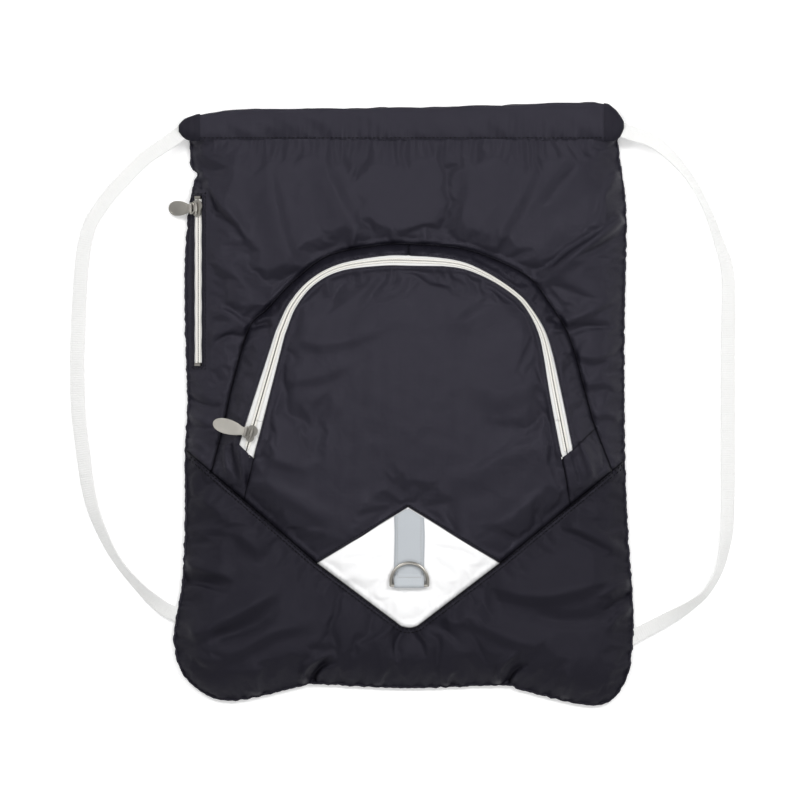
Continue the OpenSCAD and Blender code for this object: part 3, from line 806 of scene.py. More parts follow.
# Each fold: points, half width, height (below 0 for a valley), and the share of it that fades at each end
UPPER_FOLDS = [
    ([(-156, 171), (-143, 155), (-122, 128), (-112, 112)], 4.0, 1.9, (0.0, 0.7)),
    ([(-154, 165), (-146, 146), (-134, 128)], 3.0, -1.6, (0.0, 0.7)),
    ([(-150, 120), (-132, 95), (-118, 62)], 7.0, 1.6, (0.4, 0.2)),
    ([(-158, 30), (-140, 52), (-122, 58)], 5.0, 1.3, (0.2, 0.3)),
    ([(-162, 3), (-150, -2), (-141, -4)], 2.2, -1.3, (0.0, 0.6)),
    ([(-162, -9), (-152, -15), (-142, -18)], 3.2, 1.2, (0.0, 0.6)),
    ([(-163, -26), (-155, -32), (-149, -40)], 2.6, 1.0, (0.1, 0.5)),
    ([(164, 140), (140, 122), (112, 100), (98, 90)], 6.0, 2.4, (0.05, 0.4)),
    ([(164, 133), (146, 118), (124, 106)], 3.4, -1.7, (0.0, 0.6)),
    ([(161, 176), (150, 158), (146, 140), (128, 122)], 6.0, 1.7, (0.1, 0.5)),
    ([(140, 196), (128, 176), (104, 150), (86, 128)], 9.0, 1.2, (0.3, 0.5)),
    ([(118, 60), (136, 68), (158, 80)], 5.0, 1.7, (0.05, 0.5)),
    ([(121, 52), (138, 56), (160, 58)], 3.2, -1.4, (0.05, 0.5)),
    ([(127, 38), (142, 34), (162, 44)], 5.0, 1.2, (0.1, 0.4)),
    ([(133, 12), (146, 16), (162, 10)], 5.0, 1.0, (0.1, 0.3)),
    ([(140, -12), (150, -8), (163, -14)], 3.6, 1.1, (0.1, 0.3)),
    ([(-118, 56), (-132, 66), (-150, 70)], 4.6, 1.5, (0.05, 0.5)),
    ([(-120, 50), (-134, 50), (-150, 44)], 3.0, -1.2, (0.05, 0.5)),
    ([(-104, 72), (-118, 92), (-128, 122)], 6.5, 1.2, (0.05, 0.6)),
    ([(-80, 96), (-92, 124), (-100, 160), (-104, 190)], 9.0, 1.2, (0.1, 0.4)),
    ([(-30, 119), (-44, 142), (-60, 172), (-66, 195)], 9.0, 1.1, (0.1, 0.4)),
    ([(30, 120), (34, 150), (48, 180)], 10.0, -1.0, (0.1, 0.4)),
    ([(64, 110), (74, 136), (92, 168), (100, 192)], 9.0, 1.2, (0.1, 0.4)),
    ([(94, 94), (112, 110), (130, 134)], 6.0, -1.3, (0.05, 0.6)),
    ([(-40, 119), (-38, 127), (-34, 134)], 2.4, 0.8, (0.0, 0.7)),
    ([(-8, 121), (-10, 130), (-14, 138)], 2.2, 0.7, (0.0, 0.7)),
    ([(14, 121), (18, 131)], 2.2, 0.7, (0.0, 0.7)),
]
FACE_FOLDS = [
    ([(-40, 99), (-39, 90), (-36, 80)], 1.9, -1.1, (0.0, 0.7)),
    ([(-31, 101), (-31, 92), (-33, 84)], 1.6, -0.9, (0.0, 0.7)),
    ([(-16, 102), (-16, 94), (-14, 87)], 1.6, -1.0, (0.0, 0.7)),
    ([(-8, 102), (-9, 93), (-11, 84)], 1.7, -0.9, (0.0, 0.7)),
    ([(24, 102), (25, 93), (28, 82)], 2.0, -1.2, (0.0, 0.7)),
    ([(31, 101), (33, 92), (38, 80)], 1.7, -1.0, (0.0, 0.7)),
    ([(45, 99), (47, 92), (50, 86)], 1.6, -0.9, (0.0, 0.7)),
    ([(58, 93), (56, 84), (50, 74)], 2.4, 1.0, (0.0, 0.7)),
    ([(-60, 92), (-58, 84), (-54, 76)], 2.2, 0.9, (0.0, 0.7)),
    ([(70, 84), (52, 66), (26, 54)], 8.0, 1.5, (0.1, 0.5)),
    ([(-82, 52), (-62, 44), (-30, 52), (0, 66)], 9.0, 1.3, (0.1, 0.4)),
    ([(-92, 18), (-66, 20), (-34, 34)], 8.0, 1.1, (0.1, 0.4)),
    ([(-98, -2), (-70, -14), (-44, -12)], 8.0, -0.9, (0.1, 0.4)),
    ([(100, 20), (74, 8), (44, 14)], 8.0, 1.2, (0.05, 0.4)),
    ([(106, -6), (82, -18), (52, -16)], 7.0, -1.0, (0.05, 0.4)),
    ([(112, -30), (84, -34), (52, -52), (30, -62)], 8.0, 1.4, (0.1, 0.4)),
    ([(-108, -34), (-92, -44), (-66, -50)], 6.0, 1.1, (0.05, 0.5)),
    ([(-118, -60), (-98, -66), (-72, -80), (-50, -98)], 6.5, 1.2, (0.1, 0.4)),
    ([(-86, -100), (-72, -92), (-52, -92)], 4.0, -0.9, (0.1, 0.5)),
    ([(118, -62), (98, -70), (80, -86), (60, -100)], 6.0, 1.2, (0.1, 0.4)),
    ([(84, -104), (70, -96), (50, -94)], 4.0, -0.9, (0.1, 0.5)),
    ([(-40, -102), (-30, -82), (-34, -60)], 6.0, 0.9, (0.1, 0.5)),
    ([(38, -100), (34, -80), (40, -60)], 5.0, -0.8, (0.1, 0.5)),
]
CORNER_FOLDS = [
    ([(-135.4, -28), (-136.5, -40), (-134, -54)], 1.6, 1.2, (0.2, 0.2)),
    ([(-130, -31), (-129.5, -44), (-126, -60)], 1.5, -1.2, (0.0, 0.3)),
    ([(-125, -32), (-124, -46), (-121, -64)], 1.6, 1.1, (0.1, 0.3)),
    ([(-118, -38), (-119, -50), (-119, -66)], 1.4, -0.8, (0.0, 0.3)),
    ([(124, -36), (128, -50), (130, -64)], 1.8, -1.2, (0.0, 0.3)),
    ([(130, -28), (136, -44), (140, -58)], 2.2, 1.3, (0.1, 0.2)),
    ([(138, -22), (146, -36), (150, -48)], 1.8, -1.0, (0.1, 0.2)),
    ([(119, -42), (121, -56), (124, -72)], 1.6, 0.9, (0.0, 0.3)),
    ([(-140, -30), (-134, -6), (-131, 8)], 1.5, -0.9, (0.2, 0.5)),
    ([(-126, 30), (-122, 40), (-112, 52)], 2.0, 1.0, (0.3, 0.3)),
    ([(-116, 56), (-107, 58), (-99, 58)], 2.0, -1.3, (0.0, 0.2)),
    ([(-112, 61), (-103, 64), (-96, 64)], 1.8, 0.9, (0.0, 0.2)),
    ([(106, 62), (112, 62), (117, 58)], 1.8, -1.2, (0.2, 0.0)),
    ([(108, 54), (114, 54), (120, 54)], 1.8, 0.9, (0.2, 0.0)),
    ([(121, 40), (116, 30), (118, 14)], 1.8, 0.9, (0.2, 0.4)),
]
LOWER_FOLDS = [
    ([(-166, -176), (-140, -166), (-112, -150), (-86, -134)], 8.0, 2.2, (0.1, 0.4)),
    ([(-160, -196), (-128, -186), (-96, -170), (-62, -164)], 8.0, 1.6, (0.1, 0.4)),
    ([(-150, -178), (-120, -170), (-92, -156)], 5.0, -1.5, (0.2, 0.4)),
    ([(-69, -210), (-68, -203), (-62, -197), (-50, -194)], 2.0, -2.6, (0.0, 0.5)),
    ([(-75, -210), (-76, -202), (-69, -194), (-52, -188)], 2.8, 2.2, (0.0, 0.6)),
    ([(76, -211), (78, -205), (84, -199), (96, -195)], 2.0, -2.6, (0.0, 0.5)),
    ([(70, -209), (70, -201), (77, -192), (94, -186)], 2.8, 2.2, (0.0, 0.6)),
    ([(-12, -167), (-22, -176), (-40, -182)], 3.4, 1.4, (0.0, 0.6)),
    ([(-2, -170), (-8, -182), (-6, -196)], 3.0, -1.2, (0.0, 0.6)),
    ([(8, -170), (16, -182), (18, -198)], 3.0, 1.4, (0.0, 0.6)),
    ([(16, -166), (32, -172), (44, -184)], 3.0, -1.1, (0.0, 0.6)),
    ([(24, -160), (50, -164), (80, -178), (110, -188)], 7.0, 1.6, (0.1, 0.4)),
    ([(60, -134), (88, -144), (120, -142), (160, -128)], 9.0, 2.0, (0.15, 0.2)),
    ([(84, -156), (120, -164), (160, -160)], 6.0, -1.5, (0.3, 0.2)),
    ([(120, -92), (140, -100), (162, -112)], 6.0, 1.6, (0.1, 0.2)),
    ([(-162, -66), (-140, -82), (-118, -104), (-100, -120)], 8.0, 1.5, (0.2, 0.3)),
    ([(-164, -122), (-146, -126), (-124, -134)], 5.0, 1.6, (0.0, 0.5)),
    ([(-166, -134), (-150, -136), (-134, -142)], 3.2, -1.5, (0.0, 0.5)),
    ([(166, -134), (156, -138), (140, -150)], 3.6, 1.7, (0.0, 0.5)),
    ([(167, -144), (156, -150), (146, -162)], 2.8, -1.6, (0.0, 0.5)),
    ([(168, -154), (156, -162), (150, -176)], 3.0, 1.4, (0.0, 0.5)),
    ([(-20, -211), (-16, -202), (-8, -196)], 3.0, 1.2, (0.0, 0.6)),
    ([(30, -211), (34, -203), (44, -198)], 3.0, 1.1, (0.0, 0.6)),
    ([(120, -220), (122, -206), (114, -194)], 5.0, 1.4, (0.0, 0.5)),
    ([(-112, -216), (-112, -204), (-104, -194)], 5.0, 1.4, (0.0, 0.5)),
]
DIAMOND_FOLDS = [
    ([(-46, -134), (-38, -128), (-34, -118)], 2.4, 0.7, (0.0, 0.6)),
    ([(-30, -146), (-26, -138), (-20, -132)], 2.2, -0.7, (0.0, 0.6)),
    ([(-14, -159), (-12, -150), (-6, -144)], 2.2, 0.8, (0.0, 0.6)),
    ([(8, -163), (8, -154), (14, -148)], 2.0, -0.7, (0.0, 0.6)),
    ([(20, -158), (22, -148), (26, -140)], 2.2, 0.8, (0.0, 0.6)),
    ([(36, -146), (36, -138), (40, -130)], 2.2, -0.7, (0.0, 0.6)),
    ([(52, -134), (48, -126), (50, -120)], 2.2, 0.7, (0.0, 0.6)),
]


def edge_puckers(s, d, total_length, seed, pitch, depth, reach):
    """Short gathers along a seam: waves along it that die away from it."""
    place = s * total_length
    pattern = np.sin(TURN * place / pitch + 1.7 * np.sin(TURN * place / (pitch * 4.3) + seed))
    swell = 0.55 + 0.45 * np.sin(TURN * place / (pitch * 7.1) + 2.1 * seed)
    return depth * pattern * swell * np.exp(-d / reach)


def folded(z):
    """The front's heights with its folds, puckers and seam valleys."""
    lift = np.zeros(len(X))
    jobs = [(("upper",), UPPER_FOLDS, 1.7), (("face",), FACE_FOLDS, 1.3), (("lower",), LOWER_FOLDS, 1.7),
            (("diamond",), DIAMOND_FOLDS, 1.35),
            (("gusset_left", "gusset_right", "corner_left", "corner_right"), CORNER_FOLDS, 2.0)]
    for names, folds, gain in jobs:
        inside = np.any([IN_REGION[n] for n in names], axis=0)
        lift[inside] = gain * fold_field(XY[inside], folds)
    lift += 0.45 * waves(X, Y, 5, 14, 40, 110) * step01(D_OUT, 4, 30)
    lift += 0.14 * waves(X, Y, 9, 20, 11, 30)
    lift += edge_puckers(S_OUT, D_OUT, arc_length(OUTLINE)[-1], 1.0, 11.0, 0.9, 7.0)
    lift += edge_puckers(S_V, D_V, arc_length(V_SEAM)[-1], 2.0, 8.5, 0.35, 5.0) * (~IN_REGION["diamond"])
    lift += edge_puckers(S_GUSSET, D_GUSSET, arc_length(GUSSET_SEAM)[-1], 3.0, 12.0, 0.25, 4.0)
    lift += edge_puckers(X / 330, MOUTH_Y - Y, 330, 4.0, 7.0, 0.45, 9.0)
    flat_under_ring = np.exp(-(((X - STRIP_X) / 22) ** 6) - ((Y + 118) / 34) ** 6)
    lift *= 1 - 0.85 * flat_under_ring
    hold = np.ones(len(X))
    for d in (D_V, D_GUSSET):
        hold *= step01(d, -0.6, 3.5)
    for d in (D_OUTER, D_INNER):
        hold *= step01(d, 1.2, 5.5)
    hold *= step01(D_OUT, -1.2, 2.5)
    hold *= step01(D_SIDE, 2.5, 9.0)
    z = z + lift * hold
    # Each seam lies in a valley, and its cloth swells beside it
    seam = np.zeros(len(X))
    seam -= 1.5 * ridge(D_V, 0, 1.0) * step01(D_OUT, 1, 6)
    seam += 0.5 * ridge(D_V, 2.4, 1.5) * step01(D_OUT, 2, 9)
    seam -= 1.2 * ridge(D_GUSSET, 0, 1.0)
    seam += 0.4 * ridge(D_GUSSET, 2.6, 1.6)
    seam += 0.35 * ridge(D_LINE["diamond"], 1.8, 1.1) * IN_REGION["face"]
    for key, depth in CREASE_DEPTH_AND_SHADE.items():
        seam -= 0.9 * depth * ridge(D_LINE[key], 0, 0.9) * IN_POCKET
    seam += 0.5 * ridge(D_OUTER, 2.4, 1.5) + 0.5 * ridge(D_INNER, 2.4, 1.5)
    return z + seam


# ---- cloth simulation ----
DRAPE_FRAMES = 22
DRAPE_CAP = 3.2  # no point of the cloth may move further than this
DRAPE_SCALE = 10  # the cloth is simulated at this many times its size
CLOTH = {"quality": 5, "mass": 0.25, "tension_stiffness": 12, "compression_stiffness": 12,
         "shear_stiffness": 6, "bending_stiffness": 0.25, "air_damping": 2, "vertex_group_mass": "pin",
         "pin_stiffness": 4, "shrink_min": -0.02, "use_pressure": True, "uniform_pressure_force": 0.35}
HELD_HALF = 0.6  # how firmly the cloth is held beside a seam, where 1 is fixed


def draped(points, tris, held):
    """The cloth after a short simulation. It is a little too large for its seams and lightly filled, so
    that it wrinkles."""
    mesh = bpy.data.meshes.new("drape")
    mesh.from_pydata((points * MM * DRAPE_SCALE).tolist(), [], tris.tolist())
    obj = bpy.data.objects.new("drape", mesh)
    bpy.context.scene.collection.objects.link(obj)
    group = obj.vertex_groups.new(name="pin")
    for weight in (1.0, HELD_HALF):
        at = np.nonzero(np.isclose(held, weight))[0].tolist()
        group.add(at, weight, "REPLACE")
    cloth = obj.modifiers.new("cloth", "CLOTH")
    for key, value in CLOTH.items():
        setattr(cloth.settings, key, value)
    cloth.settings.effector_weights.gravity = 0
    cloth.collision_settings.use_collision = False
    cloth.collision_settings.use_self_collision = False
    scene = bpy.context.scene
    cloth.point_cache.frame_start = 1
    cloth.point_cache.frame_end = DRAPE_FRAMES
    for number in range(1, DRAPE_FRAMES + 1):
        scene.frame_set(number)
    graph = bpy.context.evaluated_depsgraph_get()
    result = obj.evaluated_get(graph).to_mesh()
    out = np.zeros(len(points) * 3)
    result.vertices.foreach_get("co", out)
    obj.evaluated_get(graph).to_mesh_clear()
    scene.frame_set(1)
    bpy.data.objects.remove(obj)
    bpy.data.meshes.remove(mesh)
    move = out.reshape(-1, 3) / (MM * DRAPE_SCALE) - points
    far = np.linalg.norm(move, axis=1)
    return points + move * np.minimum(1, DRAPE_CAP / np.maximum(far, 1e-9))[:, None]


FRONT = np.column_stack([XY, folded(FRONT_Z)])
held = np.zeros(len(XY))
flat_part = (np.abs(X - STRIP_X) < 15) & (Y < -76) & (Y > -141)
nearest_seam = np.minimum.reduce([D_V, D_GUSSET, D_OUTER, D_INNER])
held[nearest_seam < 1.6] = HELD_HALF
held[flat_part] = 1.0
held[D_SIDE < 5.0] = 1.0
held[PINNED] = 1.0
FRONT = draped(FRONT, SHOWN_TRIS, held)
FRONT[:, 2] = np.maximum(FRONT[:, 2], SEAM_Z - 1.2)
FRONT_N = vertex_normals(FRONT, SHOWN_TRIS)

# Painted shade along each seam's crease: how dark it is
FRONT_CREASE_SHADE = np.maximum(ridge(D_V, 0, 0.75), ridge(D_GUSSET, 0, 0.7) * ~IN_REGION["lower"])
for key, depth in CREASE_DEPTH_AND_SHADE.items():
    FRONT_CREASE_SHADE = np.maximum(FRONT_CREASE_SHADE, depth * ridge(D_LINE[key], 0, 0.6) * IN_POCKET)
# Painted shade along tight pleats caught in the seams: points and darkness
PLEAT_SHADE_LINES = [([(-69, -212), (-68, -203), (-61, -196)], 0.85), ([(76, -213), (78, -205), (86, -198)], 0.85),
          ([(-131, -31), (-129.5, -44), (-125, -60)], 0.6), ([(129, -30), (132, -42), (136, -56)], 0.5),
          ([(-9, -169), (-18, -177)], 0.5), ([(9, -169), (15, -180)], 0.5)]
for points, depth in PLEAT_SHADE_LINES:
    d_pleat, s_pleat, _ = nearest_on(XY, path(points, 1.0))
    FRONT_CREASE_SHADE = np.maximum(FRONT_CREASE_SHADE, depth * ridge(d_pleat, 0, 1.3) * (1 - 0.7 * s_pleat))


def gathers(obj):
    """The piece's transform, baked into its points."""
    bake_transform(obj)


def folds_down(obj):
    """The piece's transform, baked into its points."""
    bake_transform(obj)


def region_piece(name, mask, nodes=(), material=NYLON):
    """A shell of cloth over some of the front's triangles, standing for CAD nodes."""
    obj = shell_from(name, FRONT, FRONT_N, TRIS[mask], FABRIC_T, material, FRONT_CREASE_SHADE)
    if nodes:
        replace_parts(obj, *nodes)
    return obj


on_left = XY[TRIS].mean(1)[:, 0] < 0
gathers(region_piece("front_upper_left", REGION["upper"] & on_left, ["front_upper_panel"]))
gathers(region_piece("front_upper_right", REGION["upper"] & ~on_left))
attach(region_piece("front_lower_panel_cloth", REGION["lower"], ["front_lower_panel"], NYLON_LOW), "bag")
for name in ("gusset_left", "gusset_right", "corner_left", "corner_right"):
    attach(region_piece(f"{name}_cloth", REGION[name], [f"pocket_{name}"]), "bag")
folds_down(region_piece("pocket_face_cloth", REGION["face"], ["pocket_face_lower", "pocket_face_flap"]))
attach(region_piece("diamond_cloth", REGION["diamond"], ["diamond_patch"], WHITE), "bag")


# ---- the back, the seams at the edge and the cloth behind the pocket ----
def sheet_within(lines, spacing, spots):
    """Points and triangles of the areas that hold the spots."""
    xy, tris, walls = triangulated(lines, spacing)
    tris = facing_up(xy, tris)
    group = components(tris, walls)
    picked = [group == group[holds(xy, tris, spot)] for spot in spots]
    return xy, tris, picked


def back_heights(xy):
    """Heights of the back panel's upper face: low in the middle, and rising to the seam at its edge."""
    d, s, _ = nearest_on(xy, OUTLINE)
    t = np.clip(d / 10.0, 0, 1)
    z = 0.4 + (SEAM_Z - 1.0) * (1 - np.sqrt(1 - (1 - t) ** 2))
    ripple = 0.5 + 0.5 * waves(xy[:, 0], xy[:, 1], 21, 12, 35, 120)
    z += 0.5 * np.clip(ripple, 0, 1.4) * step01(d, 2, 26)
    pucker = edge_puckers(s, d, arc_length(OUTLINE)[-1], 1.0, 11.0, 1.0, 9.0)
    return z + 0.3 * np.abs(pucker) * step01(d, 0.5, 3) + FABRIC_T


back_lines = {"outline": OUTLINE, "mouth": LINES["mouth"], "split": path([(0, MOUTH_Y + 2), (0, -216)], GRID)}
back_xy, back_tris, (back_left, back_right) = sheet_within(back_lines, 3.2, [(-80, 0), (80, 0)])
BACK = np.column_stack([back_xy, back_heights(back_xy)])
BACK_N = vertex_normals(BACK, back_tris[back_left | back_right])
back = shell_from("back_panel_left", BACK, BACK_N, back_tris[back_left], FABRIC_T, NYLON)
gathers(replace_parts(back, "back_panel"))
gathers(shell_from("back_panel_right", BACK, BACK_N, back_tris[back_right], FABRIC_T, NYLON))


def panel_behind_pocket():
    """The front's own cloth under the pocket, seen when the flap is down."""
    lines = {"v": V_SEAM, "gusset": GUSSET_SEAM}
    xy, tris, (inside,) = sheet_within(lines, 4.0, [(0, 20)])
    d_g, _, _ = nearest_on(xy, GUSSET_SEAM)
    d_v, _, _ = nearest_on(xy, V_SEAM)
    near = np.minimum(d_g, d_v)
    ripple = 0.5 * waves(xy[:, 0], xy[:, 1], 31, 12, 30, 90) * step01(near, 2, 20)
    z = BAG_Z - 2.6 - 0.9 * np.exp(-near / 6) + ripple
    points = np.column_stack([xy, z])
    tris = tris[inside]
    normals = vertex_normals(points, tris)
    obj = shell_from("panel_behind_pocket", points, normals, tris, FABRIC_T, NYLON_DARK)
    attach(obj, "bag")


panel_behind_pocket()


def edge_roll(name, line, material, radius=0.95, seed=0.0):
    """The rolled seam where front and back panels meet."""
    inward = -left_normals(line)
    place = arc_length(line)
    swell = radius * (1 + 0.18 * np.sin(TURN * place / 5.5 + seed) + 0.1 * np.sin(place / 2.3 + seed))
    centres = np.column_stack([line, np.full(len(line), SEAM_Z - 0.2)])
    circle = np.column_stack([np.cos(ROUND), np.sin(ROUND)])
    section = swell[:, None, None] * circle[None]
    across = np.column_stack([inward, np.zeros(len(line))])
    up = np.tile([0.0, 0.0, 1.0], (len(line), 1))
    return tube(name, sweep(centres, across, up, section)[:, ::-1], material)


BOTTOM_Y = -200  # the bag's edge is a side seam above this and the bottom seam below it
first_bottom = int(np.argmax(OUTLINE[:, 1] < BOTTOM_Y))
last_bottom = len(OUTLINE) - 1 - int(np.argmax(OUTLINE[::-1, 1] < BOTTOM_Y))
left_seam = edge_roll("left_side_seam", OUTLINE[: first_bottom + 1], NYLON)
gathers(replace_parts(left_seam, "left_side_binding"))
right_seam = edge_roll("right_side_seam", OUTLINE[last_bottom:], NYLON, seed=1.0)
gathers(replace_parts(right_seam, "right_side_binding"))
bottom_seam = edge_roll("bottom_seam", OUTLINE[first_bottom: last_bottom + 1], NYLON_LOW, seed=2.0)
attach(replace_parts(bottom_seam, "bottom_binding"), "bag")


# ---- hem ----
HEM_X = np.arange(-166.0, 160.1, 1.5)
HEM_AROUND = 44  # points round the sleeve
HEM_TOP = [(-172, 206.5), (-170.5, 208.2), (-168, 210.8), (-165.7, 212.4), (-157, 215.7), (-144, 218),
           (-137, 219.6), (-122, 220.3), (-96, 220.5), (-40, 221), (0, 221.5), (64, 223), (110, 224.8),
           (141, 226), (152, 223.6), (158, 218.5), (161.5, 214), (163.5, 210.5)]
HEM_LOW = [(-172, 205), (-170.5, 203.4), (-168, 200.4), (-165, 198.2), (-161, 197), (0, 197), (156, 197),
           (160, 199), (162, 202), (163.5, 206)]


def hem_rings(xs, z_mid, half_h, seed, grow=0.0):
    """Closed rings of a flattened sleeve along x, pinched at its stitch line and round at the mouth."""
    top = np.interp(xs, *zip(*HEM_TOP)) + 0.5 * waves(xs, 0 * xs, seed, 9, 14, 60)
    low = np.interp(xs, *zip(*HEM_LOW))
    around = np.linspace(0, TURN, HEM_AROUND, endpoint=False)
    c, s = np.cos(around), np.sin(around)
    share = (1 + c) / 2
    # 0 at the stitch line, 1 at the mouth
    body = np.sign(s) * np.abs(s) ** 0.75 * (0.35 + 0.65 * np.sqrt(share))
    y = low[:, None] - grow + (top - low + 2 * grow)[:, None] * share[None]
    pucker = np.sin(TURN * xs / 6.4 + 1.9 * np.sin(xs / 13) + seed)
    pucker *= 0.6 + 0.4 * np.sin(xs / 23 + seed)
    fade = np.exp(-((y - MOUTH_Y) / 9.0))
    swell = 1 + 0.16 * waves(xs, 0 * xs, seed + 1, 9, 18, 70)
    z = z_mid + (half_h * swell[:, None] + grow) * body[None] + 0.5 * pucker[:, None] * fade * (s > 0)[None]
    x = np.repeat(xs[:, None], HEM_AROUND, 1)
    z = z + 0.35 * waves(x.ravel(), y.ravel(), seed + 2, 12, 12, 45).reshape(y.shape)
    return np.stack([x, y, z], axis=2)


def grid_normals(rings):
    """Outward direction at each point of the rings."""
    du = np.gradient(rings, axis=0)
    dv = np.roll(rings, -1, axis=1) - np.roll(rings, 1, axis=1)
    n = np.cross(dv, du)
    return n / np.maximum(np.linalg.norm(n, axis=2), 1e-9)[..., None]


def hollow_tube(name, rings, normals, thickness, material):
    """A sleeve with open ends and real thickness."""
    count, around = rings.shape[:2]
    outer, inner = rings.reshape(-1, 3), (rings - thickness * normals).reshape(-1, 3)
    n = len(outer)
    band = band_faces(count, around)
    faces = band + [[n + v for v in reversed(quad)] for quad in band]
    for base, flip in ((0, False), ((count - 1) * around, True)):
        for k in range(around):
            j = (k + 1) % around
            quad = [base + k, base + j, n + base + j, n + base + k]
            faces.append(quad if flip else quad[::-1])
    flat = normals.reshape(-1, 3)
    return finish_mesh(name, np.vstack([outer, inner]), faces, material, np.vstack([flat, -flat]))


hem_split = int(np.argmin(np.abs(HEM_X)))
hem_halves = (("left", -1, slice(0, hem_split + 1)), ("right", 1, slice(hem_split, None)))
# Each hem's middle height, half height and seed, and where along x each turned end of its channel lies
HEM_SPEC = {"front": (13.5, 2.5, 41), "back": (3.2, 2.45, 47)}
CHANNEL_ENDS = (("left", -170.5, -154.5), ("right", 148.5, 163.5))
for name, (z_mid, half_h, seed) in HEM_SPEC.items():
    rings = hem_rings(HEM_X, z_mid, half_h, seed)
    normals = grid_normals(rings)
    for side, way, part in hem_halves:
        obj = hollow_tube(f"{name}_hem_{side}", rings[part], normals[part], FABRIC_T, NYLON)
        if side == "left":
            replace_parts(obj, f"{name}_hem")
        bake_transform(obj)
    for side, x_from, x_to in CHANNEL_ENDS:
        xs = np.arange(x_from, x_to + 0.1, 1.0)
        end_rings = hem_rings(xs, z_mid, half_h * 0.96, seed, grow=0.75)
        from_lip = xs - x_from if side == "left" else x_to - xs
        pinch = 1 - 0.22 * np.exp(-from_lip / 2.2)
        middle = end_rings.mean(axis=1, keepdims=True)
        end_rings = middle + (end_rings - middle) * pinch[:, None, None]
        end_normals = grid_normals(end_rings)
        obj = hollow_tube(f"{side}_channel_end_{name}", end_rings, end_normals, 0.5, NYLON_LOW)
        if name == "front":
            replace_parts(obj, f"{side}_channel_end")
        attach(obj, f"mouth_{side}")


# ---- webbing ----
RIB = 1.7  # pitch of the webbing's ribs
WEB_T = 0.62  # half its thickness
cord_low, cord_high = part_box("front_drawcord_run")
WEB_HALF = (cord_high.y - cord_low.y) / MM / 2
STRAP_BEND = (0.168, 0.186)  # metres from the middle, between which the webbing passes from bag to strap


def webbing(name, points, rolls, depth=0.09):
    """Flat ribbed webbing through points, turned about its own line by rolls in degrees."""
    line = curve(points, 0.425)
    place = arc_length(line)
    knots = [place[np.argmin(np.linalg.norm(line - np.array(p), axis=1))] for p in points]
    roll = smoothed(np.radians(np.interp(place, knots, rolls)), 20)
    along = tangents(line)
    flat = np.column_stack([-along[:, 1], along[:, 0], np.zeros(len(line))])
    flat /= np.linalg.norm(flat, axis=1)[:, None]
    up = np.cross(along, flat)
    across = flat * np.cos(roll)[:, None] + up * np.sin(roll)[:, None]
    up = np.cross(along, across)
    rib = np.cos(TURN * place / RIB)
    base = rounded_bar(WEB_HALF, WEB_T)
    section = np.repeat(base[None], len(line), axis=0)
    section[:, :, 1] *= (1 + depth / WEB_T * rib)[:, None]
    sway = 1 + 0.012 * np.cos(TURN * place / (2 * RIB)) + 0.012 * np.sin(place / 9)
    section[:, :, 0] *= sway[:, None]
    return tube(name, sweep(line, across, up, section), WEBBING)


# Points along each strap: x, y, z and roll in degrees
LEFT_STRAP = [(-162, 208.5, 13.4, 0), (-172, 200, 12.2, 6), (-185, 191, 9.5, 14), (-199.5, 180, 7, 18),
              (-227.5, 149, 3.4, 20), (-241, 119, 2.4, 16), (-246, 53, 2.0, 12), (-246, 0, 2.0, 12),
              (-242.5, -35, 2.4, 16), (-236.5, -73, 3.4, 30), (-226.5, -100, 4.4, 48), (-214.5, -121, 5.0, 60),
              (-198, -140, 4.4, 48), (-184.5, -152, 3.0, 20), (-177.5, -156.4, 2.2, 6), (-171.5, -158.6, 1.9, 0)]
RIGHT_STRAP = [(155, 207.5, 13.4, 0), (167, 203, 12.6, -4), (187.5, 195, 9.6, -26), (209, 174, 7.0, -58),
               (224, 149, 6.0, -62), (234, 122.5, 5.2, -52), (241.5, 94.5, 3.4, -26), (241.5, 37, 2.2, -14),
               (241.5, -28, 2.2, -14), (241, -88, 3.0, -24), (238.5, -110, 4.4, -46), (234, -127, 5.2, -60),
               (225, -142, 5.4, -62), (213, -152, 4.8, -50), (198, -161, 3.4, -24), (185, -168, 2.2, -6),
               (172.5, -174.4, 1.9, 0)]
for side, way, points in (("left", -1, LEFT_STRAP), ("right", 1, RIGHT_STRAP)):
    strap = webbing(f"{side}_strap_webbing", [p[:3] for p in points], [p[3] for p in points])
    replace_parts(strap, f"{side}_strap")
    start, end = ((way * x, 0, 0) for x in STRAP_BEND)
    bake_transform(strap)
for name, z in (("front", 13.4), ("back", 3.0)):
    cord = webbing(f"{name}_drawcord_webbing", [(-164, 209.5, z), (-80, 211, z), (0, 211, z), (158, 211, z)],
                   [0, 0, 0, 0])
    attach(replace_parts(cord, f"{name}_drawcord_run"), "bag")
STRAP_TABS = (("left", (-173, -158, 1.9), (-161, -162.5, 1.7)),
              ("right", (173.5, -174, 1.9), (161, -180, 1.7)))
for side, start, end in STRAP_TABS:
    middle = tuple((a + b) / 2 for a, b in zip(start, end))
    tab = webbing(f"{side}_strap_end", [start, middle, end], [0, 0, 0])
    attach(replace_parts(tab, f"{side}_strap_anchor"), "bag")


# ---- zips ----
TEETH = 1.4  # pitch of the coil's turns
BAND = 13.2  # width of the pocket's zip over both tapes
SLANT_START, SLANT_END = 8.5, 6.0  # how much further its inner edge runs at its start and at its end
SLANT_FADE = 12.0  # length of zip that a slanted end spreads over
TAPE_PAST, COIL_PAST = 0.2, -3.4  # how far tape and coil run past the slanted ends
TAPE_LOW, TAPE_HIGH = -0.25, 0.35  # heights of a tape's two faces
TAPE_START = 0.35  # where a tape begins beside the middle line, and how far it goes under the cloth
SIDE_TAPE = 4.4  # how far the side zip's tapes reach from its middle line
COIL_MIDDLE = (1.22, 0.8)  # middle of a coil: its offset from the middle line, and its height
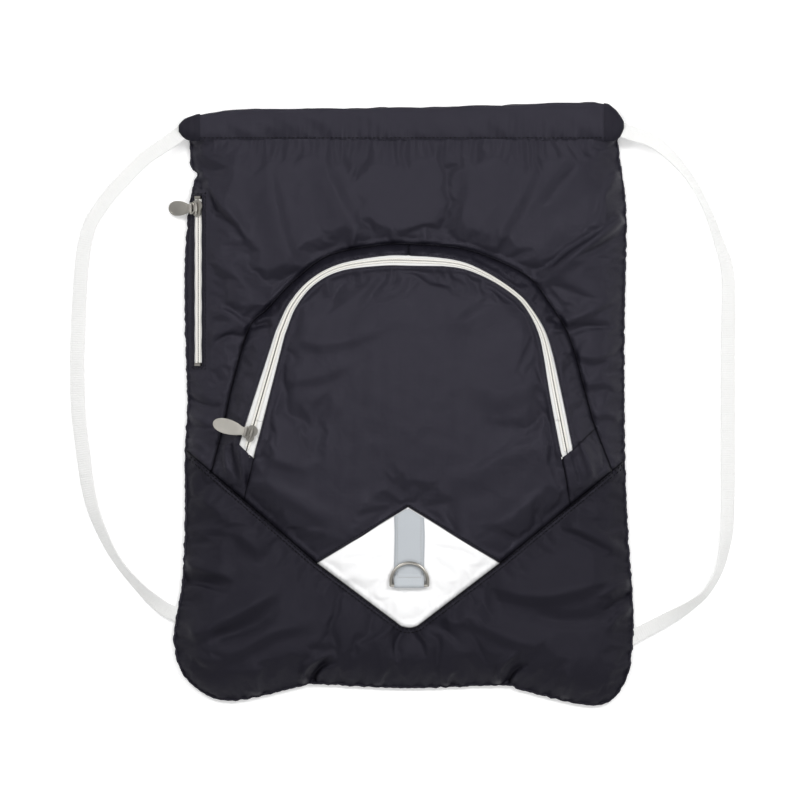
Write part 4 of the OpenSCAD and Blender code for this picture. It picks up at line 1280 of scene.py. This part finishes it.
# Outline of a tape: share of the way across, and height
TAPE_RING = [(0.0, TAPE_LOW), (0.5, TAPE_LOW), (1.0, TAPE_LOW), (1.0, TAPE_HIGH), (0.75, TAPE_HIGH + 0.03),
             (0.5, TAPE_HIGH), (0.25, TAPE_HIGH + 0.03), (0.0, TAPE_HIGH)]


def zip_grid(frames, offset, height, past):
    """A point on the zip: offset to its outer side and height above its tape. Its ends are cut on the
    slant and run past by the given length, or are square when past is None."""
    s, centre, out, up, _ = frames
    place = centre + offset[..., None] * out + height[..., None] * up
    if past is None:
        return place
    share = (BAND / 2 - offset) / BAND
    lean_start = (share * SLANT_START + past) * np.clip(1 - s / SLANT_FADE, 0, 1)
    lean_end = (share * SLANT_END + past) * np.clip(1 - (s[-1] - s) / SLANT_FADE, 0, 1)
    return place - (lean_start - lean_end)[:, None] * tangents(centre)


def finer(frames, step):
    """The same zip with more points, about step apart."""
    s = frames[0]
    at = np.linspace(0, s[-1], int(s[-1] / step) + 1)
    parts = [np.stack([np.interp(at, s, part[:, k]) for k in range(3)], axis=1) for part in frames[1:4]]
    return (at, *parts, np.interp(at, s, frames[4]))


def zip_part(name, ring, side, keep, material):
    """A tape or coil from its lengthwise rows of points. keep picks the part along the zip."""
    rings = np.stack(ring, axis=1)[keep]
    return tube(name, rings if side > 0 else rings[:, ::-1], material)


def zip_tape(name, frames, side, keep, past=TAPE_PAST, width=None):
    """One tape: side is +1 for the outer one."""
    s, shown = frames[0], frames[4]
    reach = shown + TAPE_START if width is None else np.full(len(s), width)
    ring = []
    for share, height in TAPE_RING:
        offset = side * (TAPE_START + share * (reach - TAPE_START))
        ring.append(zip_grid(frames, offset, np.full(len(s), height), past))
    return zip_part(name, ring, side, keep, TAPE)


def zip_coil(name, frames, side, keep, past=COIL_PAST):
    """One row of the coil's turns."""
    turn = 0.5 + 0.5 * np.cos(TURN * frames[0] / TEETH + (0 if side > 0 else math.pi))
    ring = []
    for a in ROUND:
        offset = side * (COIL_MIDDLE[0] + (0.78 + 0.22 * turn) * math.cos(a))
        height = COIL_MIDDLE[1] + (0.42 + 0.36 * turn) * math.sin(a)
        ring.append(zip_grid(frames, offset, height, past))
    return zip_part(name, ring, side, keep, COIL)


POCKET_ZIP = (ZIP_S, ZIP_CENTRE, ZIP_OUT, ZIP_UP, ZIP_HALF)
POCKET_COIL = finer(POCKET_ZIP, TEETH / 4)
FOLD_Y = -12.1  # the inner tape and coil are divided here, where the flap bends
FOLD_LAP = 1.3  # and their two parts lap by this
CUTS = {"bag_left": lambda f: (f[1][:, 0] < 0) & (f[1][:, 1] < FOLD_Y),
        "bag_right": lambda f: (f[1][:, 0] > 0) & (f[1][:, 1] < FOLD_Y),
        "flap": lambda f: f[1][:, 1] > FOLD_Y - FOLD_LAP,
        "all": lambda f: f[0] >= 0}
for kind, build, frames in (("tape", zip_tape, POCKET_ZIP), ("coil", zip_coil, POCKET_COIL)):
    outer = build(f"pocket_outer_{kind}", frames, 1, CUTS["all"](frames))
    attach(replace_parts(outer, f"pocket_zip_outer_{kind}"), "bag")
    inner = build(f"pocket_inner_{kind}", frames, -1, CUTS["flap"](frames))
    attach(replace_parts(inner, f"pocket_zip_inner_{kind}"), "pocket_flap")
    for side in ("left", "right"):
        end = build(f"pocket_inner_{kind}_end_{side}", frames, -1, CUTS[f"bag_{side}"](frames))
        if side == "left":
            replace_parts(end, f"pocket_zip_{kind}_ends")
        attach(end, "bag")

side_line = resampled([(SIDE_X, y, SIDE_Z + 0.25) for y in (30, 153)], 1.0)
side_count = len(side_line)
SIDE_ACROSS = np.tile([math.cos(SIDE_TILT), 0, math.sin(SIDE_TILT)], (side_count, 1))
SIDE_UP = np.tile([-math.sin(SIDE_TILT), 0, math.cos(SIDE_TILT)], (side_count, 1))
SIDE_ZIP = (arc_length(side_line), side_line, -SIDE_ACROSS, SIDE_UP, np.full(side_count, 4.0))
SIDE_COIL = finer(SIDE_ZIP, TEETH / 4)
for word, side in (("left", 1), ("right", -1)):
    tape = zip_tape(f"side_{word}_tape", SIDE_ZIP, side, SIDE_ZIP[0] >= 0, None, SIDE_TAPE)
    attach(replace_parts(tape, f"side_zip_{word}_tape"), "bag")
    coil = zip_coil(f"side_{word}_coil", SIDE_COIL, side, SIDE_COIL[0] >= 0, None)
    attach(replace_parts(coil, f"side_zip_{word}_coil"), "bag")


def side_welt():
    """The folded lip round the side pocket's opening."""
    half, low, high = SIDE_HALF + 0.35, SIDE_Y[0] - 0.3, SIDE_Y[1] + 0.3
    spacing = 2.0
    half_t, middle_w = 0.55, 0.95  # half the lip's thickness, and its height on the tilted opening
    flat = path([(-half, low), (half, low), (half, high), (-half, high), (-half, low)], spacing)[:-1]
    rings = []
    out = flat - np.array([0, (low + high) / 2])
    out = np.column_stack([np.sign(out[:, 0]) * (np.abs(flat[:, 0]) > half - 0.1),
                           np.sign(out[:, 1]) * (np.abs(flat[:, 0]) <= half - 0.1)])
    for k in range(len(flat)):
        swell = 1 + 0.15 * math.sin(k * spacing / 3.1)
        u = flat[k, 0] + out[k, 0] * np.cos(ROUND) * swell
        v = flat[k, 1] + out[k, 1] * np.cos(ROUND) * swell
        w = middle_w + half_t * np.sin(ROUND) * swell
        x = SIDE_X + u * math.cos(SIDE_TILT) - w * math.sin(SIDE_TILT)
        z = SIDE_Z + u * math.sin(SIDE_TILT) + w * math.cos(SIDE_TILT)
        rings.append(np.column_stack([x, v, z]))
    rings = np.array(rings + [rings[0]])
    obj = tube("side_zip_lip", rings, NYLON_LOW, closed_ends=False)
    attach(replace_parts(obj, "side_zip_welt"), "bag")


side_welt()


def inner_pouch():
    """The side pocket's bag, lying flat under the front panel."""
    low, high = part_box("side_pocket_bag")
    drop = 0.8  # below its CAD place, clear of the front panel
    centre = (np.array(low) + np.array(high)) / 2 / MM - np.array([0, 0, drop])
    half = (np.array(high) - np.array(low)) / 2 / MM
    side = 29
    u = np.linspace(-1, 1, side)
    gx, gy = np.meshgrid(u, u, indexing="ij")
    x = gx * half[0] * (1 - 0.03 * gy**2)
    y = gy * half[1] * (1 - 0.03 * gx**2)
    bulge = np.sqrt(np.clip((1 - gx**4) * (1 - gy**4), 0, 1))
    rise = 0.12 + (half[2] - 0.5) * bulge
    wave = 0.1 * waves(x.ravel(), y.ravel(), 61, 8, 18, 50).reshape(x.shape) * bulge
    top = np.stack([x, y, rise + wave], axis=2).reshape(-1, 3) + centre
    low_side = np.stack([x, y, -rise + wave], axis=2).reshape(-1, 3) + centre
    n = len(top)
    faces = []
    for i in range(side - 1):
        for k in range(side - 1):
            quad = [v + i * side + k for v in (0, side, side + 1, 1)]
            faces.append(quad)
            faces.append([n + v for v in (quad[0], quad[3], quad[2], quad[1])])
    last = side - 1
    rim = list(range(last)) + [i * side + last for i in range(last)]
    rim += [last * side + k for k in range(last, 0, -1)] + [i * side for i in range(last, 0, -1)]
    for a, b in zip(rim, rim[1:] + rim[:1]):
        faces.append([a, b, n + b, n + a])
    obj = finish_mesh("side_pocket_pouch", np.vstack([top, low_side]), faces, NYLON_DARK)
    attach(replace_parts(obj, "side_pocket_bag"), "bag")


inner_pouch()

# ---- the strip that holds the ring ----
def surface_finder(verts, faces):
    """A function giving height and upward direction of a sheet at a place, or None outside it."""
    tree = BVHTree.FromPolygons(verts, faces)

    def find(x, y):
        hit, normal, _, _ = tree.ray_cast(Vector((x, y, 80)), Vector((0, 0, -1)))
        if hit is None:
            return None
        return np.array(hit), np.array(normal if normal.z > 0 else -normal)

    return find


def tube_surface(rings):
    """The same for the upper face of a tube made of closed rings."""
    return surface_finder(rings.reshape(-1, 3).tolist(), band_faces(*rings.shape[:2]))


on_surface = surface_finder(FRONT.tolist(), SHOWN_TRIS.tolist())
on_hem = tube_surface(hem_rings(HEM_X, *HEM_SPEC["front"]))

BAR_R = 1.25  # radius of the ring's wire
RING_LOW, RING_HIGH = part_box("d_ring")
RING_X = (RING_LOW.x + RING_HIGH.x) / 2 / MM
BAR_Y = RING_LOW.y / MM + BAR_R
BAR_Z = RING_LOW.z / MM + BAR_R


def ring_strip():
    """The strip: from the diamond's top down its cloth and round the ring's bar. Returns a finder for
    its surface."""
    half, thickness, spacing = 11.2, 0.62, 0.7
    gap = 0.12  # between the strip and what it lies on
    side = []
    for y in np.arange(-78.9, -129.5, -1.5):
        z = max(on_surface(RING_X + dx, y)[0][2] for dx in (-8, 0, 8))
        side.append((y, z + gap))
    r = BAR_R + gap
    wrap = [(-132.5, BAR_Z + 0.5)]
    for a in np.radians(np.arange(75, 271, 15)):
        wrap.append((BAR_Y + r * math.cos(a), BAR_Z + r * math.sin(a)))
    wrap += [(-133.5, BAR_Z - r - 0.1), (-129.5, BAR_Z - r)]
    line = resampled(side + wrap, spacing)
    d = tangents(line)
    normal = np.column_stack([d[:, 1], -d[:, 0]])
    us = np.concatenate([np.linspace(-half, half, 9), np.linspace(half, -half, 9)])
    lift = np.concatenate([np.full(9, 0.0), np.full(9, thickness)])
    lift = lift + 0.12 * (1 - (np.abs(us) / half) ** 4) * (lift > 0)
    top_slope, top_x, top_length, rise = 0.61, DIAMOND["top"][0], 22, 0.075
    rings = []
    for k, (y, z) in enumerate(line):
        sway = 0.25 * math.sin(y / 9)
        # The strip's top end follows the two edges of the diamond
        cut = -top_slope * np.abs(us + RING_X - top_x) * np.clip(1 - k * spacing / top_length, 0, 1)
        rings.append(np.column_stack([RING_X + us + sway, y + cut + normal[k, 0] * lift,
                                      z + rise * cut + normal[k, 1] * lift]))
    obj = tube("ring_strip", np.array(rings), REFLECTIVE)
    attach(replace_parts(obj, "reflective_strip"), "bag")
    return tube_surface(np.array(rings))


on_strip = ring_strip()


# ---- stitches ----
def stitch_row(name, line, material, pitch=3.0, share=0.72, radius=0.24, lift=0.12, surface=on_surface):
    """A row of thread bars lying on the cloth along a flat line."""
    line = resampled(line, pitch)
    d = tangents(line)
    around = 6
    verts, faces = [], []
    profile = [(-1.0, 0.25), (-0.8, 0.8), (0.0, 1.0), (0.8, 0.8), (1.0, 0.25)]  # place along a bar, and size
    bar_faces = band_faces(len(profile), around) + end_faces(len(profile), around)
    for k in range(len(line)):
        found = surface(*line[k, :2])
        if found is None:
            continue
        spot, normal = found
        along = np.array([d[k, 0], d[k, 1], 0.0])
        along -= normal * (along @ normal)
        along /= max(np.linalg.norm(along), 1e-9)
        across = np.cross(normal, along)
        start = len(verts)
        for t, size in profile:
            centre = spot + normal * (lift - 0.16 * t * t) + along * (t * pitch * share / 2)
            for j in range(around):
                a = TURN * j / around
                verts.append(centre + radius * size * (across * math.cos(a) + normal * math.sin(a)))
        faces.extend([start + v for v in face] for face in bar_faces)
    return finish_mesh(name, np.array(verts), faces, material)


inside_v = V_SEAM[(V_SEAM[:, 0] > -160) & (V_SEAM[:, 0] < 161)]
for word, away in (("upper", -1.5), ("lower", -3.7)):
    line = shifted(inside_v, away)
    row = stitch_row(f"v_stitches_{word}", line, THREAD_WITH_PAINTED_SHADE, share=0.8, radius=0.42, lift=-0.02)
    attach(row, "bag")
diamond_top = shifted(path([DIAMOND["left"], DIAMOND["top"], DIAMOND["right"]], 1.0), 1.6)
folds_down(stitch_row("diamond_stitches", diamond_top, THREAD_WITH_PAINTED_SHADE, pitch=2.6, radius=0.36, lift=0.0))
hem_y = MOUTH_Y + 0.9
for word, side, x_end in (("left", -1, -157.5), ("right", 1, 155.5)):
    line = path([(side * 1.5, hem_y), (x_end, hem_y)], 3.0)
    row = stitch_row(f"hem_stitches_{word}", line, THREAD_WITH_PAINTED_SHADE, pitch=3.2, radius=0.34, surface=on_hem)
    gathers(row)
side_u = 5.6 * math.cos(SIDE_TILT)
side_top, side_low = SIDE_Y[1] + 1.8, SIDE_Y[0] - 2.0
side_box = [(SIDE_X + side_u, side_top), (SIDE_X + side_u, side_low), (SIDE_X - side_u, side_low),
            (SIDE_X - side_u, side_top), (SIDE_X + side_u, side_top)]
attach(stitch_row("side_zip_stitches", path(side_box, 1.0), THREAD_WITH_PAINTED_SHADE, pitch=2.8), "bag")
outer_row = shifted(OUTER_2D, 1.3)[2:-2]
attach(stitch_row("pocket_zip_outer_stitches", outer_row, THREAD_WITH_PAINTED_SHADE, pitch=2.8, radius=0.2), "bag")
inner_row = shifted(INNER_2D, -1.3)[2:-2]
folds_down(stitch_row("pocket_zip_inner_stitches", inner_row, THREAD_WITH_PAINTED_SHADE, pitch=2.8, radius=0.2))
for word, dx in (("left", -8.7), ("right", 8.7)):
    line = path([(RING_X + dx, -86.5), (RING_X + dx, -129)], 1.0)
    row = stitch_row(f"strip_stitches_{word}", line, PALE_THREAD, pitch=2.4, radius=0.22, surface=on_strip)
    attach(row, "bag")
line = path([(RING_X - 8.5, -130.8), (RING_X + 8.5, -130.8)], 1.0)
row = stitch_row("strip_bar_stitches", line, PALE_THREAD, pitch=1.5, radius=0.3, surface=on_strip)
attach(row, "bag")


# ---- the frame's own metal pieces ----
METAL_NODES = [f"{word}_zip_{part}" for word in ("pocket", "side") for part in ("slider", "link", "pull")]
for name in METAL_NODES + ["side_zip_stops", "d_ring"]:
    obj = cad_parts[name]
    obj.data.materials.clear()
    obj.data.materials.append(NICKEL)
    bevel = obj.modifiers.new("worn_edges", "BEVEL")
    bevel.width = 0.12 * MM
    bevel.segments = 2
    bevel.limit_method = "ANGLE"
    bevel.angle_limit = math.radians(40)

# ---- floor, lights and camera ----
floor_mesh = bpy.data.meshes.new("floor")
floor_mesh.from_pydata([(-3, -3, 0), (3, -3, 0), (3, 3, 0), (-3, 3, 0)], [], [(0, 1, 2, 3)])
floor = bpy.data.objects.new("floor", floor_mesh)
floor.location.z = cad_box[0][2] - 0.0004  # just clear of the bag, in metres
bpy.context.scene.collection.objects.link(floor)
floor_material, _, floor_bsdf = new_material("floor")
set_inputs(floor_bsdf, {"Base Color": (0.93, 0.93, 0.93, 1), "Roughness": 0.8,
                        "Emission Color": (1, 1, 1, 1), "Emission Strength": 0.22})
floor_mesh.materials.append(floor_material)

world = bpy.data.worlds.new("studio")
world.use_nodes = True
set_inputs(world.node_tree.nodes["Background"], {"Color": (1, 1, 1, 1), "Strength": 0.42})
bpy.context.scene.world = world


def area_light(name, place, size, power):
    """A rectangular light at a place in metres, turned to the middle of the bag, with its power in watts."""
    data = bpy.data.lights.new(name, "AREA")
    data.shape = "RECTANGLE"
    data.size, data.size_y = size
    data.energy = power
    light = bpy.data.objects.new(name, data)
    light.location = place
    light.rotation_euler = (-Vector(place)).to_track_quat("-Z", "Y").to_euler()
    bpy.context.scene.collection.objects.link(light)


area_light("top_left", (-0.75, 0.75, 1.15), (0.5, 0.5), 10)
area_light("top_right", (0.85, 0.6, 1.15), (0.45, 0.45), 10.5)
area_light("front", (0.1, -1.0, 1.0), (0.9, 0.4), 4)

camera_data = bpy.data.cameras.new("camera")
camera_data.type = "ORTHO"
camera_data.ortho_scale = 0.6
camera = bpy.data.objects.new("camera", camera_data)
camera.location = (-0.0045, 0.00225, 1.5)
bpy.context.scene.collection.objects.link(camera)
bpy.context.scene.camera = camera
bpy.context.scene.view_settings.view_transform = "Standard"
